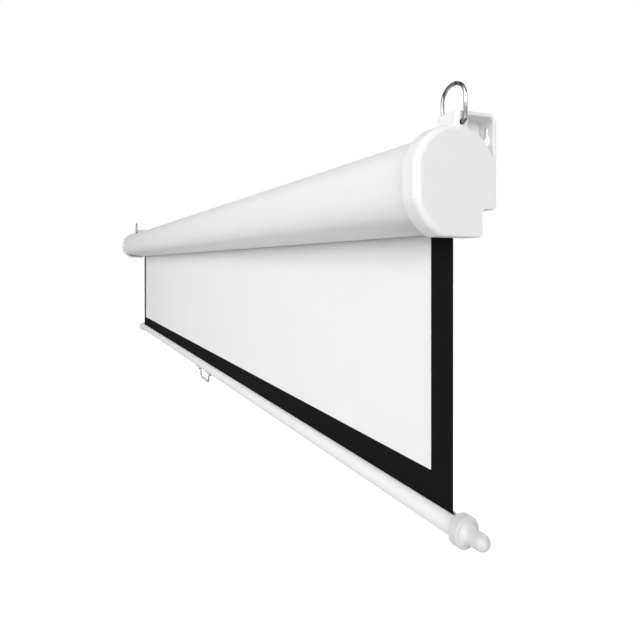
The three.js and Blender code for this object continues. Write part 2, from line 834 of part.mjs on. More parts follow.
const whitePaint = finish(0xeceeed, 0.4);
const whiteMoulding = finish(0xe8e9e9, 0.45);
const paleMoulding = finish(0xdcdede, 0.5);
const chromedWire = finish(0xc9c9c6, 0.15, 1);
const zincSteel = finish(0xaeb1b3, 0.35, 0.9);
const springSteel = finish(0x55585a, 0.4, 0.9);
const naturalNylon = finish(0xe6e2d6, 0.55);
const mattWhiteCloth = finish(0xeeefef, 0.9);
const blackPrint = finish(0x1b1c1c, 0.85);

// Scene graph
function piece(name, geometry, material, parent) {
  const mesh = new THREE.Mesh(geometry, material);
  mesh.name = name;
  parent.add(mesh);
  return mesh;
}

// A pair of like solids as two named pieces
function pair(names, geometries, material, parent) {
  names.forEach((name, i) => piece(name, geometries[i], material, parent));
}

const screen = new THREE.Group();

// Everything about the roller's axis, set off the wall and below the keyhole screws
const onAxis = new THREE.Group();
onAxis.position.set(0, -axisToWall, -axisToScrew);
screen.add(onAxis);

piece('case_tube', caseTube(), whitePaint, onAxis);
const rightCap = endCap();
piece('end_cap_right', rightCap, whiteMoulding, onAxis);
piece('end_cap_left', mirrored(rightCap), whiteMoulding, onAxis);
const capScrews = capScrewPair();
pair(['cap_screw_right_lower', 'cap_screw_right_upper'], capScrews, zincSteel, onAxis);
pair(['cap_screw_left_lower', 'cap_screw_left_upper'], capScrews.map(mirrored), zincSteel, onAxis);

const ring = hangingRing();
const rightRing = piece('hanging_ring_right', ring, chromedWire, onAxis);
rightRing.position.set(earMiddle, ringPivotSide, ringPivotHeight);
const leftRing = piece('hanging_ring_left', ring.clone(), chromedWire, onAxis);
leftRing.position.set(-earMiddle, ringPivotSide, ringPivotHeight);

piece('bracket_plate_right', bracketPlate(tangSlot()), zincSteel, onAxis);
const bushHole = rod(pinRadius + 2 * clearance + bushWall, plateInner - overrun, plateOuter + overrun);
piece('bracket_plate_left', mirrored(bracketPlate(bushHole)), zincSteel, onAxis);
const plateScrews = plateScrewPair();
pair(['bracket_screw_right_front', 'bracket_screw_right_rear'], plateScrews, zincSteel, onAxis);
pair(['bracket_screw_left_front', 'bracket_screw_left_rear'], plateScrews.map(mirrored), zincSteel, onAxis);

// Spring end, on the right
piece('spring_spindle', springSpindle(), zincSteel, onAxis);
piece('spindle_anchor', spindleAnchor(), naturalNylon, onAxis);
piece('torsion_spring', torsionSpring(), springSteel, onAxis);
piece('ratchet_wheel', ratchetWheel(), zincSteel, onAxis);
piece('roller_plug_right', springPlug(), naturalNylon, onAxis);
['upper', 'lower'].forEach((place, i) => {
  const halfTurn = new THREE.Group();
  halfTurn.rotation.x = i * Math.PI;
  onAxis.add(halfTurn);
  const pin = piece(`pawl_pin_${place}`, pawlPin(), zincSteel, halfTurn);
  pin.position.set(plugOuter, pawlPivotSide, pawlPivotHeight);
  const arm = piece(`pawl_${place}`, pawl(), zincSteel, halfTurn);
  arm.position.set((ratchetInner + ratchetOuter) / 2, pawlPivotSide, pawlPivotHeight);
  arm.rotation.x = -pawlLiftDegrees * degree;
});

// Idle end, on the left
piece('roller_plug_left', mirrored(rollerPlug(pinRadius + clearance)), naturalNylon, onAxis);
piece('idle_pin', mirrored(idlePin()), zincSteel, onAxis);
piece('idle_bush', mirrored(idleBush()), naturalNylon, onAxis);

// Roller and cloth
piece('roller_tube', sleeve(rollerRadius, rollerRadius - rollerWall, -rollerEnd, rollerEnd), zincSteel, onAxis);
piece('fabric_roll', fabricRoll(), mattWhiteCloth, onAxis);
piece('screen_fabric', screenFabric(), mattWhiteCloth, onAxis);
piece('black_border', blackBorder(), blackPrint, onAxis);

// Bottom bar, about its own axis in the cloth's plane
const bar = new THREE.Group();
bar.position.set(0, clothMiddle, -barDrop);
onAxis.add(bar);
piece('bottom_bar', bottomBar(), whitePaint, bar);
piece('hem_sleeve', hemSleeve(), mattWhiteCloth, bar);
piece('hem_rod', rod(rodRadius, -clothEnd, clothEnd).translate(0, 0, hemHeight), naturalNylon, bar);
const rightBarEnd = barEnd();
piece('bar_end_right', rightBarEnd, paleMoulding, bar);
piece('bar_end_left', mirrored(rightBarEnd), paleMoulding, bar);
pair(['handle_clip_left', 'handle_clip_right'], handleClips(), paleMoulding, bar);
const handle = piece('pull_handle', pullHandle(), zincSteel, bar);
handle.position.z = -clipHole;
const grip = piece('handle_grip', handleGrip(), paleMoulding, bar);
grip.position.z = -clipHole;

export default screen;
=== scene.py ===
# Detailed pieces, finishes and studio for the pull-down projection screen.
# Sections are drawn about the roller's axis: across is towards the wall, up is up.
import math

import bmesh
import bpy
from bpy.props import FloatProperty, FloatVectorProperty, IntProperty, PointerProperty
from mathutils import Matrix, Vector


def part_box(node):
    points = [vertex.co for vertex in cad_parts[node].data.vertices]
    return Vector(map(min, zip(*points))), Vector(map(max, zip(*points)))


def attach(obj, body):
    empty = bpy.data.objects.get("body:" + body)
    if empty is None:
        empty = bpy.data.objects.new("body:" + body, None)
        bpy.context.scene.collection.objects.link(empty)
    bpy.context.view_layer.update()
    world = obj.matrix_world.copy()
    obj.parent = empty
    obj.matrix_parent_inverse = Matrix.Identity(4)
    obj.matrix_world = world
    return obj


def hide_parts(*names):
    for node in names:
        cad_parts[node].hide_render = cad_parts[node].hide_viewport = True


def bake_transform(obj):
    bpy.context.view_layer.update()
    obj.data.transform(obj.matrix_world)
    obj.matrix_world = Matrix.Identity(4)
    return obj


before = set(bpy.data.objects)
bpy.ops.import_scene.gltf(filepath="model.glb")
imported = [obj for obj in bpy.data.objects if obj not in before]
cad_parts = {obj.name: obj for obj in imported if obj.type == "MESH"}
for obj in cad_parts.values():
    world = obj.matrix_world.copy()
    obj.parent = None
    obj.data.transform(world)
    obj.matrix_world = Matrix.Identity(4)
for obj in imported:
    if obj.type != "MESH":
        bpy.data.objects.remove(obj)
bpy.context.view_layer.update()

bl_info = {
    "name": "Pull-down projection screen",
    "version": (1, 0, 0),
    "blender": (4, 5, 0),
    "location": "View3D > Sidebar > Screen",
    "description": "Makes the detailed pieces and finishes of a pull-down projection screen",
    "category": "Object",
}

# Places in the frame that the pieces share
roller_axis = Vector((0, -0.044, -0.05))
bar_axis = Vector((0, -0.0168, -0.346))
floor_height = -1.9
cloth_low, cloth_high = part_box("screen_fabric")

# Air between pieces, and how far a cutting shape runs on past what it cuts
gap = 0.0003
over = 0.001


def length(name, description, default):
    return FloatProperty(name=name, description=description, default=default, min=0, unit="LENGTH")


def colour(name, description, default):
    return FloatVectorProperty(
        name=name, description=description, default=default, size=3, min=0, max=1, subtype="COLOR"
    )


class ScreenCapSizes(bpy.types.PropertyGroup):
    """Moulded cap on each end of the case"""

    face: length("Outer face", "Middle of the screen to the cap's outer face", 0.7954)
    depth: length("Depth", "Outer face to the inner edge", 0.018)
    radius: length("Drum radius", "Round part of the cap", 0.0468)
    front: length("Front flat", "Roller's axis to the flat on the front", 0.0447)
    underside: length("Underside", "Roller's axis down to the flat underside", 0.0432)
    wall: length("To the wall", "Roller's axis back to the wall", 0.044)
    face_wall: length("Face wall", "Thickness of the outer face", 0.003)
    skirt_wall: length("Skirt wall", "Thickness round the case", 0.0045)
    flange_wall: length("Flange wall", "Thickness of the flange on the wall", 0.004)
    flange_bottom: length("Flange bottom", "Roller's axis down to the flange's end", 0.0195)
    flange_top: length("Flange top", "Roller's axis up to the top at the wall", 0.062)
    rear_step: length("Rear step", "Roller's axis back to the step below the flange", 0.0275)
    ear_top: length("Ear top", "Roller's axis up to the top of the ear", 0.0585)
    ear_front: length("Ear front", "Front of the ear, ahead of the axis", 0.0025)
    ear_rear: length("Ear rear", "Back of the ear, behind the axis", 0.01)
    top_round: length("Top corner", "Round of the corner at the wall", 0.009)
    rim_round: length("Rim round", "Round of the rim on the front and top", 0.0053)
    edge_round: length("Edge round", "Round of the other edges", 0.0015)
    ear_round: length("Ear round", "Round of the ear's front edge", 0.0035)
    keyhole: length("Keyhole", "Roller's axis up to the screw in the keyhole", 0.05)
    keyhole_travel: length("Keyhole travel", "Head's hole to the seated screw", 0.01)
    keyhole_head: length("Keyhole head", "Radius of the head's hole", 0.005)
    keyhole_slot: length("Keyhole slot", "Width of the slot", 0.005)
    hood_reach: length("Hood reach", "How far the ear's front wall runs on over the case", 0.004)
    hood_wall: length("Hood wall", "Thickness of the ear's front wall there", 0.002)
    hood_bottom: length("Hood bottom", "Roller's axis up to the wall's lower edge", 0.0485)
    web: length("Web", "Inner edge to the back of the web behind the pocket", 0.0025)
    screw_inset: length("Screw inset", "Outer face to the screws in the flange", 0.0145)
    screw_spread: length("Screw spread", "Roller's axis to each of those screws", 0.007)
    boss_spread: length("Boss spread", "Roller's axis to each boss for the bracket plate", 0.022)


class ScreenCaseSizes(bpy.types.PropertyGroup):
    """Case rolled from steel sheet"""

    length: length("Length", "End to end of the case", 1.5688)
    wall: length("Sheet", "Thickness of the steel sheet", 0.0008)
    crease: length("Crease", "Roller's axis down to where the round front ends", 0.031)
    front_lip: length("Front lip", "Roller's axis back to the front lip", 0.0185)
    rear_lip: length("Rear lip", "Roller's axis down to the rear lip", 0.0125)
    curl: length("Curl", "Radius of the curled lips", 0.0017)
    ease: length("Ease", "How far from the front's corners the sheet starts to turn", 0.009)


class ScreenRingSizes(bpy.types.PropertyGroup):
    """Hanging ring in each ear"""

    wire: length("Wire", "Thickness of the wire", 0.0032)
    span: length("Span", "Between the two legs' centres", 0.0252)
    side: length("Pivot, across", "Roller's axis back to the pivot", 0.003)
    height: length("Pivot, up", "Roller's axis up to the pivot", 0.049)
    top: length("Top", "Roller's axis up to the wire at the top", 0.0824)
    bend: length("Bend", "Radius of the bends at the ear", 0.0028)


class ScreenClothSizes(bpy.types.PropertyGroup):
    """Cloth, its border and the roll of it on the roller"""

    width: length("Width", "Edge to edge of the cloth", cloth_high.x - cloth_low.x)
    sheet: length("Sheet", "Thickness of the cloth", 0.0005)
    side_border: length("Side border", "Width of the black border at the sides", 0.0276)
    bottom_border: length("Bottom border", "Height of the black border at the bottom", 0.0276)
    roll_radius: length("Roll", "Outside of the wound cloth", 0.0262)
    core_radius: length("Core", "Outside of the roller's tube", 0.0215)
    pitch: length("Pitch", "From one turn of the roll to the next", 0.00045)
    weave: length("Weave", "From one thread to the next", 0.0009)


class ScreenBarSizes(bpy.types.PropertyGroup):
    """Bottom bar and its plugs"""

    length: length("Length", "End to end of the tube", 1.538)
    radius: length("Radius", "Outside of the tube", 0.01)
    wall: length("Wall", "Thickness of the tube", 0.001)
    slot: length("Slot", "Width of the slot along the top", 0.0036)
    tuck: length("Tuck", "How far the border runs on into the slot", 0.0012)
    collar_radius: length("Collar radius", "Plug's collar", 0.0142)
    collar_length: length("Collar length", "Plug's collar", 0.01)
    cove_radius: length("Cove radius", "Where the hollow face of the collar starts", 0.0128)
    cove_length: length("Cove length", "From the collar's face to the tip", 0.0065)
    tip_radius: length("Tip radius", "Round tip of the plug", 0.0075)
    tip_length: length("Tip length", "Round tip of the plug", 0.0152)


class ScreenHandleSizes(bpy.types.PropertyGroup):
    """Pull handle and the clips that it swings in"""

    span: length("Span", "Between the two clips' middles", 0.078)
    wire: length("Wire", "Thickness of the wire", 0.003)
    leg: length("Leg", "Hinge down to the straight bottom", 0.017)
    grip_radius: length("Grip radius", "Outside of the sleeve on the bottom", 0.0031)
    grip_length: length("Grip length", "Sleeve on the bottom", 0.046)
    bend: length("Bend", "Radius of the bends", 0.0035)
    drop: length("Hinge", "Bar's axis down to the hinge", 0.0144)
    clip_width: length("Clip width", "Along the bar", 0.012)
    clip_wall: length("Clip wall", "Thickness of the saddle", 0.0015)
    lug_radius: length("Lug", "Round end of the lug", 0.0036)
    lug_width: length("Lug width", "Thickness of the lug", 0.003)


class ScreenSpringSizes(bpy.types.PropertyGroup):
    """Torsion spring in the roller"""

    wire: length("Wire", "Thickness of the wire", 0.002)
    radius: length("Radius", "Roller's axis to the middle of the wire", 0.0125)
    turns: IntProperty(name="Turns", description="How many turns it has", default=24, min=1)


class ScreenFinishes(bpy.types.PropertyGroup):
    """Colours of the finishes"""

    paint: colour("Paint", "Baked enamel on the case and the bar", (0.85, 0.857, 0.855))
    caps: colour("Cap moulding", "Plastic of the end caps", (0.86, 0.863, 0.863))
    plugs: colour("Plug moulding", "Plastic of the bar's plugs and clips", (0.68, 0.69, 0.69))
    chrome: colour("Chrome", "Plating of the rings", (0.60, 0.60, 0.58))
    zinc: colour("Zinc", "Plating of the handle, screws and plates", (0.50, 0.51, 0.52))
    spring: colour("Spring steel", "Oiled spring wire", (0.12, 0.125, 0.13))
    nylon: colour("Nylon", "Natural nylon of the bearings", (0.78, 0.75, 0.68))
    cloth: colour("Cloth", "White face of the cloth", (0.89, 0.895, 0.895))
    border: colour("Border", "Black print on the cloth", (0.008, 0.0086, 0.0088))
    backing: colour("Backing", "Back of the cloth", (0.05, 0.052, 0.055))


class PullScreenSettings(bpy.types.PropertyGroup):
    """All sizes and colours of the screen"""

    cap: PointerProperty(type=ScreenCapSizes)
    case: PointerProperty(type=ScreenCaseSizes)
    ring: PointerProperty(type=ScreenRingSizes)
    cloth: PointerProperty(type=ScreenClothSizes)
    bar: PointerProperty(type=ScreenBarSizes)
    handle: PointerProperty(type=ScreenHandleSizes)
    spring: PointerProperty(type=ScreenSpringSizes)
    finish: PointerProperty(type=ScreenFinishes)


# Outlines


def points(*corners):
    """Vectors of these (across, up) places."""
    return [Vector(corner) for corner in corners]


def arc(radius, start, end, centre=(0, 0), step=3):
    """Points of a circle from one angle to another, in degrees."""
    count = max(2, math.ceil(abs(end - start) / step))
    angles = [math.radians(start + (end - start) * i / count) for i in range(count + 1)]
    return [Vector((centre[0] + radius * math.cos(a), centre[1] + radius * math.sin(a))) for a in angles]


def height_angle(height, radius):
    """The angle, in degrees, at which a circle reaches a height."""
    return math.degrees(math.asin(height / radius))


def side_angle(across, radius):
    """The angle, in degrees, at which a circle is that far across."""
    return math.degrees(math.acos(across / radius))


def drum(radius, front, start, end, step=3):
    """Points of a circle from one angle to another, with a flat on its front."""
    side = side_angle(front, radius)
    return arc(radius, start, 180 - side, step=step) + arc(radius, 180 + side, end, step=step)


def filleted(corners):
    """Points of a polygon whose corners, each (across, up, round), are rounded."""
    rounded, steps = [], 8
    for i, (across, up, rounding) in enumerate(corners):
        corner = Vector((across, up))
        if not rounding:
            rounded.append(corner)
            continue
        back = (Vector(corners[i - 1][:2]) - corner).normalized()
        ahead = (Vector(corners[(i + 1) % len(corners)][:2]) - corner).normalized()
        half = back.angle(ahead) / 2
        centre = corner + (back + ahead).normalized() * rounding / math.sin(half)
        start = corner + back * rounding / math.tan(half) - centre
        turn = math.copysign(math.pi - 2 * half, start.cross(corner - centre))
        for k in range(steps + 1):
            a = turn * k / steps
            x = start.x * math.cos(a) - start.y * math.sin(a)
            y = start.x * math.sin(a) + start.y * math.cos(a)
            rounded.append(centre + Vector((x, y)))
    return rounded


def run_lengths(path):
    """How far along a path each of its points is."""
    runs = [0.0]
    for one, two in zip(path, path[1:]):
        runs.append(runs[-1] + (two - one).length)
    return runs


def eased(path, reach):
    """A path in even steps, each point the mean of those within reach, so that corners go round."""
    step, runs = 0.001, run_lengths(path)
    count = math.ceil(runs[-1] / step)
    even, k = [], 0
    for i in range(count + 1):
        run = runs[-1] * i / count
        while k < len(path) - 2 and runs[k + 1] < run:
            k += 1
        even.append(path[k].lerp(path[k + 1], (run - runs[k]) / (runs[k + 1] - runs[k])))
    most, means = round(reach / step), []
    for i in range(count + 1):
        near = min(most, i, count - i)
        means.append(sum(even[i - near:i + near + 1], Vector((0, 0))) / (2 * near + 1))
    return means


def shrunk(outline, distance):
    """A counter-clockwise outline moved inwards, or outwards if the distance is negative."""
    moved = []
    for i, point in enumerate(outline):
        before = (point - outline[i - 1]).normalized()
        after = (outline[(i + 1) % len(outline)] - point).normalized()
        left = Vector((-before.y, before.x))
        right = Vector((-after.y, after.x))
        moved.append(point + (left + right) * distance / (1 + left.dot(right)))
    return moved


def mirrored(half):
    """The other half of a path, back from the end of the first half."""
    return [Vector((-p.x, p.y)) for p in reversed(half)]


def rectangle(across, up):
    """Corners about the origin, from half of the width and half of the height."""
    return points((-across, -up), (across, -up), (across, up), (-across, up))


def spaced(start, end, count):
    """Even places from start to end."""
    return [start + (end - start) * i / count for i in range(count + 1)]


# Meshes


def new_piece(name, bm, at=(0, 0, 0)):
    """An object at the origin with this mesh, moved to its place inside the mesh."""
    bmesh.ops.recalc_face_normals(bm, faces=bm.faces)
    bm.transform(Matrix.Translation(at))
    mesh = bpy.data.meshes.new(name)
    bm.to_mesh(mesh)
    bm.free()
    piece = bpy.data.objects.new(name, mesh)
    bpy.context.scene.collection.objects.link(piece)
    return piece


def join_loops(bm, loops):
    """Faces between loops of equal length; a vertex that repeats in a face counts once."""
    for near, far in zip(loops, loops[1:]):
        for k in range(len(near)):
            after = (k + 1) % len(near)
            bm.faces.new(list(dict.fromkeys([near[k], near[after], far[after], far[k]])))


def capped(name, bm, loops, at=(0, 0, 0)):
    """A solid with these loops and a flat face on its first and last."""
    join_loops(bm, loops)
    bm.faces.new(loops[0])
    bm.faces.new(loops[-1])
    return new_piece(name, bm, at)


def lofted(name, rings, along="X"):
    """A closed solid through rings of equal length, each (place along, outline)."""
    bm = bmesh.new()
    loops = []
    for s, outline in rings:
        places = [(s, a, b) if along == "X" else (a, s, b) for a, b in outline]
        loops.append([bm.verts.new(place) for place in places])
    return capped(name, bm, loops)


def rounded_rings(outline, start, end, start_round, end_round, steps=6):
    """Rings of a prism whose end edges are rounded; a negative round flares them."""
    near, far = [], []
    for i in range(steps + 1):
        a = math.pi / 2 * i / steps
        along, inset = 1 - math.cos(a), 1 - math.sin(a)
        near.append((start + abs(start_round) * along, shrunk(outline, start_round * inset)))
        far.append((end - abs(end_round) * inset, shrunk(outline, end_round * along)))
    return near + far


def turned(name, profile, at=(0, 0, 0), sides=64):
    """A solid of revolution about X from (place along, radius) points."""
    bm = bmesh.new()
    rings, angles = [], [2 * math.pi * k / sides for k in range(sides)]
    for s, r in profile:
        if r == 0:
            rings.append([bm.verts.new((s, 0, 0))] * sides)
        else:
            rings.append([bm.verts.new((s, r * math.cos(a), r * math.sin(a))) for a in angles])
    if profile[0][1] and profile[-1][1]:
        rings.append(rings[0])
    join_loops(bm, rings)
    return new_piece(name, bm, at)


def wire(name, path, radius, at):
    """A round wire along a path of (x, z) points, with rounded ends."""
    bm = bmesh.new()
    rings, last, sides = [], len(path) - 1, 20
    soft = 0.3 * radius
    for i, point in enumerate(path):
        ahead = (path[min(i + 1, last)] - path[max(i - 1, 0)]).normalized()
        if i == 0:
            rings += [(point, radius - soft, ahead), (point + ahead * soft, radius, ahead)]
        elif i == last:
            rings += [(point - ahead * soft, radius, ahead), (point, radius - soft, ahead)]
        else:
            rings.append((point, radius, ahead))
    loops = []
    for point, size, ahead in rings:
        out = Vector((ahead.y, -ahead.x))
        loop = []
        for k in range(sides):
            a = 2 * math.pi * k / sides
            off = out * size * math.cos(a)
            loop.append(bm.verts.new((point.x + off.x, size * math.sin(a), point.y + off.y)))
        loops.append(loop)
    return capped(name, bm, loops, at)


def mirror_piece(piece, name):
    """The same piece for the other end of the screen."""
    bm = bmesh.new()
    bm.from_mesh(piece.data)
    bm.transform(Matrix.Scale(-1, 4, (1, 0, 0)))
    return new_piece(name, bm)


def settle(piece):
    """Makes the modifiers' result the piece's own plain mesh."""
    depsgraph = bpy.context.evaluated_depsgraph_get()
    plain = bpy.data.meshes.new_from_object(piece.evaluated_get(depsgraph), depsgraph=depsgraph)
    piece.modifiers.clear()
    piece.data = plain
    return piece


def combine(piece, operation, *others):
    """Joins, cuts or intersects a piece with others, which are used up."""
    for other in others:
        modifier = piece.modifiers.new(operation.title(), "BOOLEAN")
        modifier.operation = operation
        modifier.solver = "EXACT"
        modifier.object = other
    settle(piece)
    for other in others:
        bpy.data.objects.remove(other)
    return piece


def smooth(piece, angle=32):
    """Smooth shading that keeps flat faces flat and hard edges sharp."""
    piece.data.set_sharp_from_angle(angle=math.radians(angle))
    piece.data.polygons.foreach_set("use_smooth", [True] * len(piece.data.polygons))
    normals = piece.modifiers.new("Even shading", "WEIGHTED_NORMAL")
    normals.keep_sharp = True
    return settle(piece)


def dress(piece, look, body, slot, *nodes):
    """Gives a piece its finish and its body, and hides the nodes that it stands for; the slot is not
    used.
    """
    if not piece.data.materials:
        piece.data.materials.append(finished(look))
    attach(piece, body)
    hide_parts(*nodes)


# Node trees


def feed(tree, node, inputs):
    """Gives each of these inputs its value, or links it from a socket."""
    for name, value in inputs.items():
        if isinstance(value, bpy.types.NodeSocket):
            tree.links.new(value, node.inputs[name])
        else:
            node.inputs[name].default_value = value


def add(tree, kind, inputs=None, **settings):
    """A new node with these settings and inputs."""
    node = tree.nodes.new(kind)
    for name, value in settings.items():
        setattr(node, name, value)
    feed(tree, node, inputs or {})
    return node


def maths(tree, operation, *values):
    """The result of one operation on values or sockets."""
    return add(tree, "ShaderNodeMath", dict(enumerate(values)), operation=operation).outputs[0]


def remapped(tree, value, low, high, start=0, end=1):
    """A value between start and end, brought between low and high."""
    ends = {"From Min": start, "From Max": end, "To Min": low, "To Max": high}
    return add(tree, "ShaderNodeMapRange", {"Value": value, **ends}).outputs["Result"]


def new_tree(name, kind, first, numbers, results):
    """A tree with a first input, number inputs and results, and its inputs as sockets."""
    tree = bpy.data.node_groups.new(name, f"{kind}NodeTree")
    taken, made = {"Geometry": ("Geometry", "Geometry"), "Shader": ("Vector", "Float")}[kind]
    sockets = [("INPUT", first, taken)] + [("INPUT", number, "Float") for number in numbers]
    sockets += [("OUTPUT", result, made) for result in results]
    for side, label, value in sockets:
        tree.interface.new_socket(label, in_out=side, socket_type=f"NodeSocket{value}")
    return tree, tree.nodes.new("NodeGroupInput").outputs


def finish_tree(tree, geometry, material, output):
    """Makes the instances real, gives them their material and puts them out."""
    real = add(tree, "GeometryNodeRealizeInstances", {"Geometry": geometry})
    painted = add(tree, "GeometryNodeSetMaterial", {"Geometry": real.outputs[0], "Material": material})
    add(tree, "NodeGroupOutput", {output: painted.outputs[0]})
    return tree


def put_through(piece, tree, **numbers):
    """Runs a piece through a tree and keeps the result as its plain mesh."""
    modifier = piece.modifiers.new(tree.name, "NODES")
    modifier.node_group = tree
    for name, value in numbers.items():
        modifier[tree.interface.items_tree[name].identifier] = value
    return settle(piece)


def swept_section_tree(material):
    """A tree that sweeps an edge path along X to a length, centred on the middle."""
    tree, given = new_tree("Swept section", "Geometry", "Section", ["Length"], ["Sheet"])
    start = add(tree, "ShaderNodeCombineXYZ", {"X": maths(tree, "MULTIPLY", given["Length"], -0.5)})
    span = add(tree, "ShaderNodeCombineXYZ", {"X": given["Length"]})
    place = add(tree, "GeometryNodeTransform", {
        "Geometry": given["Section"], "Translation": start.outputs[0],
    })
    extrude = add(tree, "GeometryNodeExtrudeMesh", {
        "Mesh": place.outputs[0], "Offset": span.outputs[0], "Offset Scale": 1,
    }, mode="EDGES")
    return finish_tree(tree, extrude.outputs["Mesh"], material, "Sheet")


def swept_sheet(name, path, span, thickness, look, at):
    """A sheet of some thickness whose section follows a path, along the screen."""
    bm = bmesh.new()
    verts = [bm.verts.new((0, a, b)) for a, b in path]
    for one, two in zip(verts, verts[1:]):
        bm.edges.new((one, two))
    piece = put_through(new_piece(name, bm, at), swept_section_tree(finished(look)), Length=span)
    thicken = piece.modifiers.new("Thickness", "SOLIDIFY")
    thicken.thickness = thickness
    thicken.offset = 0
    thicken.use_even_offset = True
    settle(piece)
    bm = bmesh.new()
    bm.from_mesh(piece.data)
    bmesh.ops.recalc_face_normals(bm, faces=bm.faces)
    bm.to_mesh(piece.data)
    bm.free()
    return smooth(piece)


def coil_tree(material):
    """A tree that winds a round wire into a coil about X."""
    numbers = ["Radius", "Wire", "Length", "Turns"]
    tree, given = new_tree("Coil", "Geometry", "Geometry", numbers, ["Coil"])
    spiral = add(tree, "GeometryNodeCurveSpiral", {
        "Resolution": 32, "Rotations": given["Turns"], "Height": given["Length"],
        "Start Radius": given["Radius"], "End Radius": given["Radius"],
    })
    section = add(tree, "GeometryNodeCurvePrimitiveCircle", {"Resolution": 12, "Radius": given["Wire"]})
    sweep = add(tree, "GeometryNodeCurveToMesh", {
        "Curve": spiral.outputs[0], "Profile Curve": section.outputs[0], "Fill Caps": True,
    })
    turn = add(tree, "GeometryNodeTransform", {
        "Geometry": sweep.outputs[0], "Rotation": (0, math.pi / 2, 0),
    })
    return finish_tree(tree, turn.outputs[0], material, "Coil")


def screw_rows_tree(screw, material):
    """A tree that puts a screw on each point, turned as the point says."""
    tree, given = new_tree("Screws", "Geometry", "Places", ["Size"], ["Screws"])
    shape = add(tree, "GeometryNodeObjectInfo", {"Object": screw})
    facing = add(tree, "GeometryNodeInputNamedAttribute", {"Name": "facing"}, data_type="FLOAT_VECTOR")
    place = add(tree, "GeometryNodeInstanceOnPoints", {
        "Points": given["Places"], "Instance": shape.outputs["Geometry"],
        "Rotation": facing.outputs["Attribute"], "Scale": given["Size"],
    })
    return finish_tree(tree, place.outputs[0], material, "Screws")


# Finishes

# Tone is the colour's name in the settings; grain and clouds are how fine the two noises are
surfaces = {
    "Baked enamel": dict(
        tone="paint", roughness=0.42, grain=900, clouds=14, shade=0.97, bump=0.3, gloss=0.18,
    ),
    "Cap moulding": dict(
        tone="caps", roughness=0.38, grain=1600, clouds=25, shade=0.97, bump=0.4, gloss=0.3,
    ),
    "Plug moulding": dict(tone="plugs", roughness=0.45, grain=1600, clouds=40, shade=0.95, bump=0.4),
    # On the chromed wire the dark streaks along its length are painted reflection of dark surroundings
    "Chromed wire": dict(
        tone="chrome", roughness=0.16, grain=1500, clouds=300, shade=0.2, bump=0.1, metallic=1,
        stretch=0.14, patchy=0.12,
    ),
    "Zinc plating": dict(
        tone="zinc", roughness=0.36, grain=1800, clouds=180, shade=0.85, bump=0.25, metallic=0.9,
    ),
    "Oiled spring steel": dict(
        tone="spring", roughness=0.35, grain=1800, clouds=200, shade=0.8, metallic=0.9,
    ),
    "Natural nylon": dict(tone="nylon", roughness=0.5, grain=1800, clouds=60, shade=0.95, depth=0.1),
}
cloths = {
    "White cloth": dict(tone="cloth"),
    "Wound cloth": dict(tone="cloth", coordinates="Object"),
    "Black border": dict(tone="border", roughness=0.9, gloss=0.08, shade=0.75),
    "Cloth backing": dict(tone="backing", roughness=0.8, shade=0.8),
}


def grain_group():
    """Fine surface grain and broad clouding, for paint, mouldings, metal and cloth."""
    numbers, results = ["Grain", "Clouds"], ["Height", "Cloud"]
    group, given = new_tree("Grain and clouding", "Shader", "Vector", numbers, results)
    noises = {}
    for output, scale, detail in (("Height", "Grain", 2), ("Cloud", "Clouds", 4)):
        inputs = {"Vector": given["Vector"], "Scale": given[scale], "Detail": detail}
        noises[output] = add(group, "ShaderNodeTexNoise", inputs).outputs[0]
    add(group, "NodeGroupOutput", noises)
    return group


def weave_group():
    """A plain weave of rounded threads."""
    group, given = new_tree("Plain weave", "Shader", "Vector", ["Pitch"], ["Height"])
    apart = add(group, "ShaderNodeSeparateXYZ", {0: given["Vector"]})
    turns = maths(group, "DIVIDE", math.pi, given["Pitch"])
    waves = []
    for axis in ("X", "Y"):
        waves.append(maths(group, "SINE", maths(group, "MULTIPLY", apart.outputs[axis], turns)))
    crossed = maths(group, "MULTIPLY", *waves)
    add(group, "NodeGroupOutput", {"Height": maths(group, "ABSOLUTE", crossed)})
    return group


def effect(tree, name, make, inputs):
    """The outputs of the shader group of this name, made when it is first used."""
    group = bpy.data.node_groups.get(name) or make()
    return add(tree, "ShaderNodeGroup", inputs, node_tree=group).outputs


def new_material(name):
    """The tree and the shader of a new material."""
    material = bpy.data.materials.new(name)
    material.use_nodes = True
    return material.node_tree, material.node_tree.nodes["Principled BSDF"]


def seen(tree):
    """1 for what the camera sees itself, 0 for what lights the screen or shines in it."""
    return add(tree, "ShaderNodeLightPath").outputs["Is Camera Ray"]


def tinted(tree, base, shade, share):
    """A colour between the shaded and the full base, by share."""
    # The mix node's sockets share names, so the ones for colours go by their places
    low, high, mixed = 6, 7, 2
    ends = {low: (*[c * shade for c in base], 1), high: (*base, 1)}
    return add(tree, "ShaderNodeMix", {0: share, **ends}, data_type="RGBA").outputs[mixed]


def embossed(tree, height, strength, distance):
    """A normal bent by the slopes of a height."""
    relief = {"Height": height, "Strength": strength, "Distance": distance}
    return add(tree, "ShaderNodeBump", relief).outputs["Normal"]


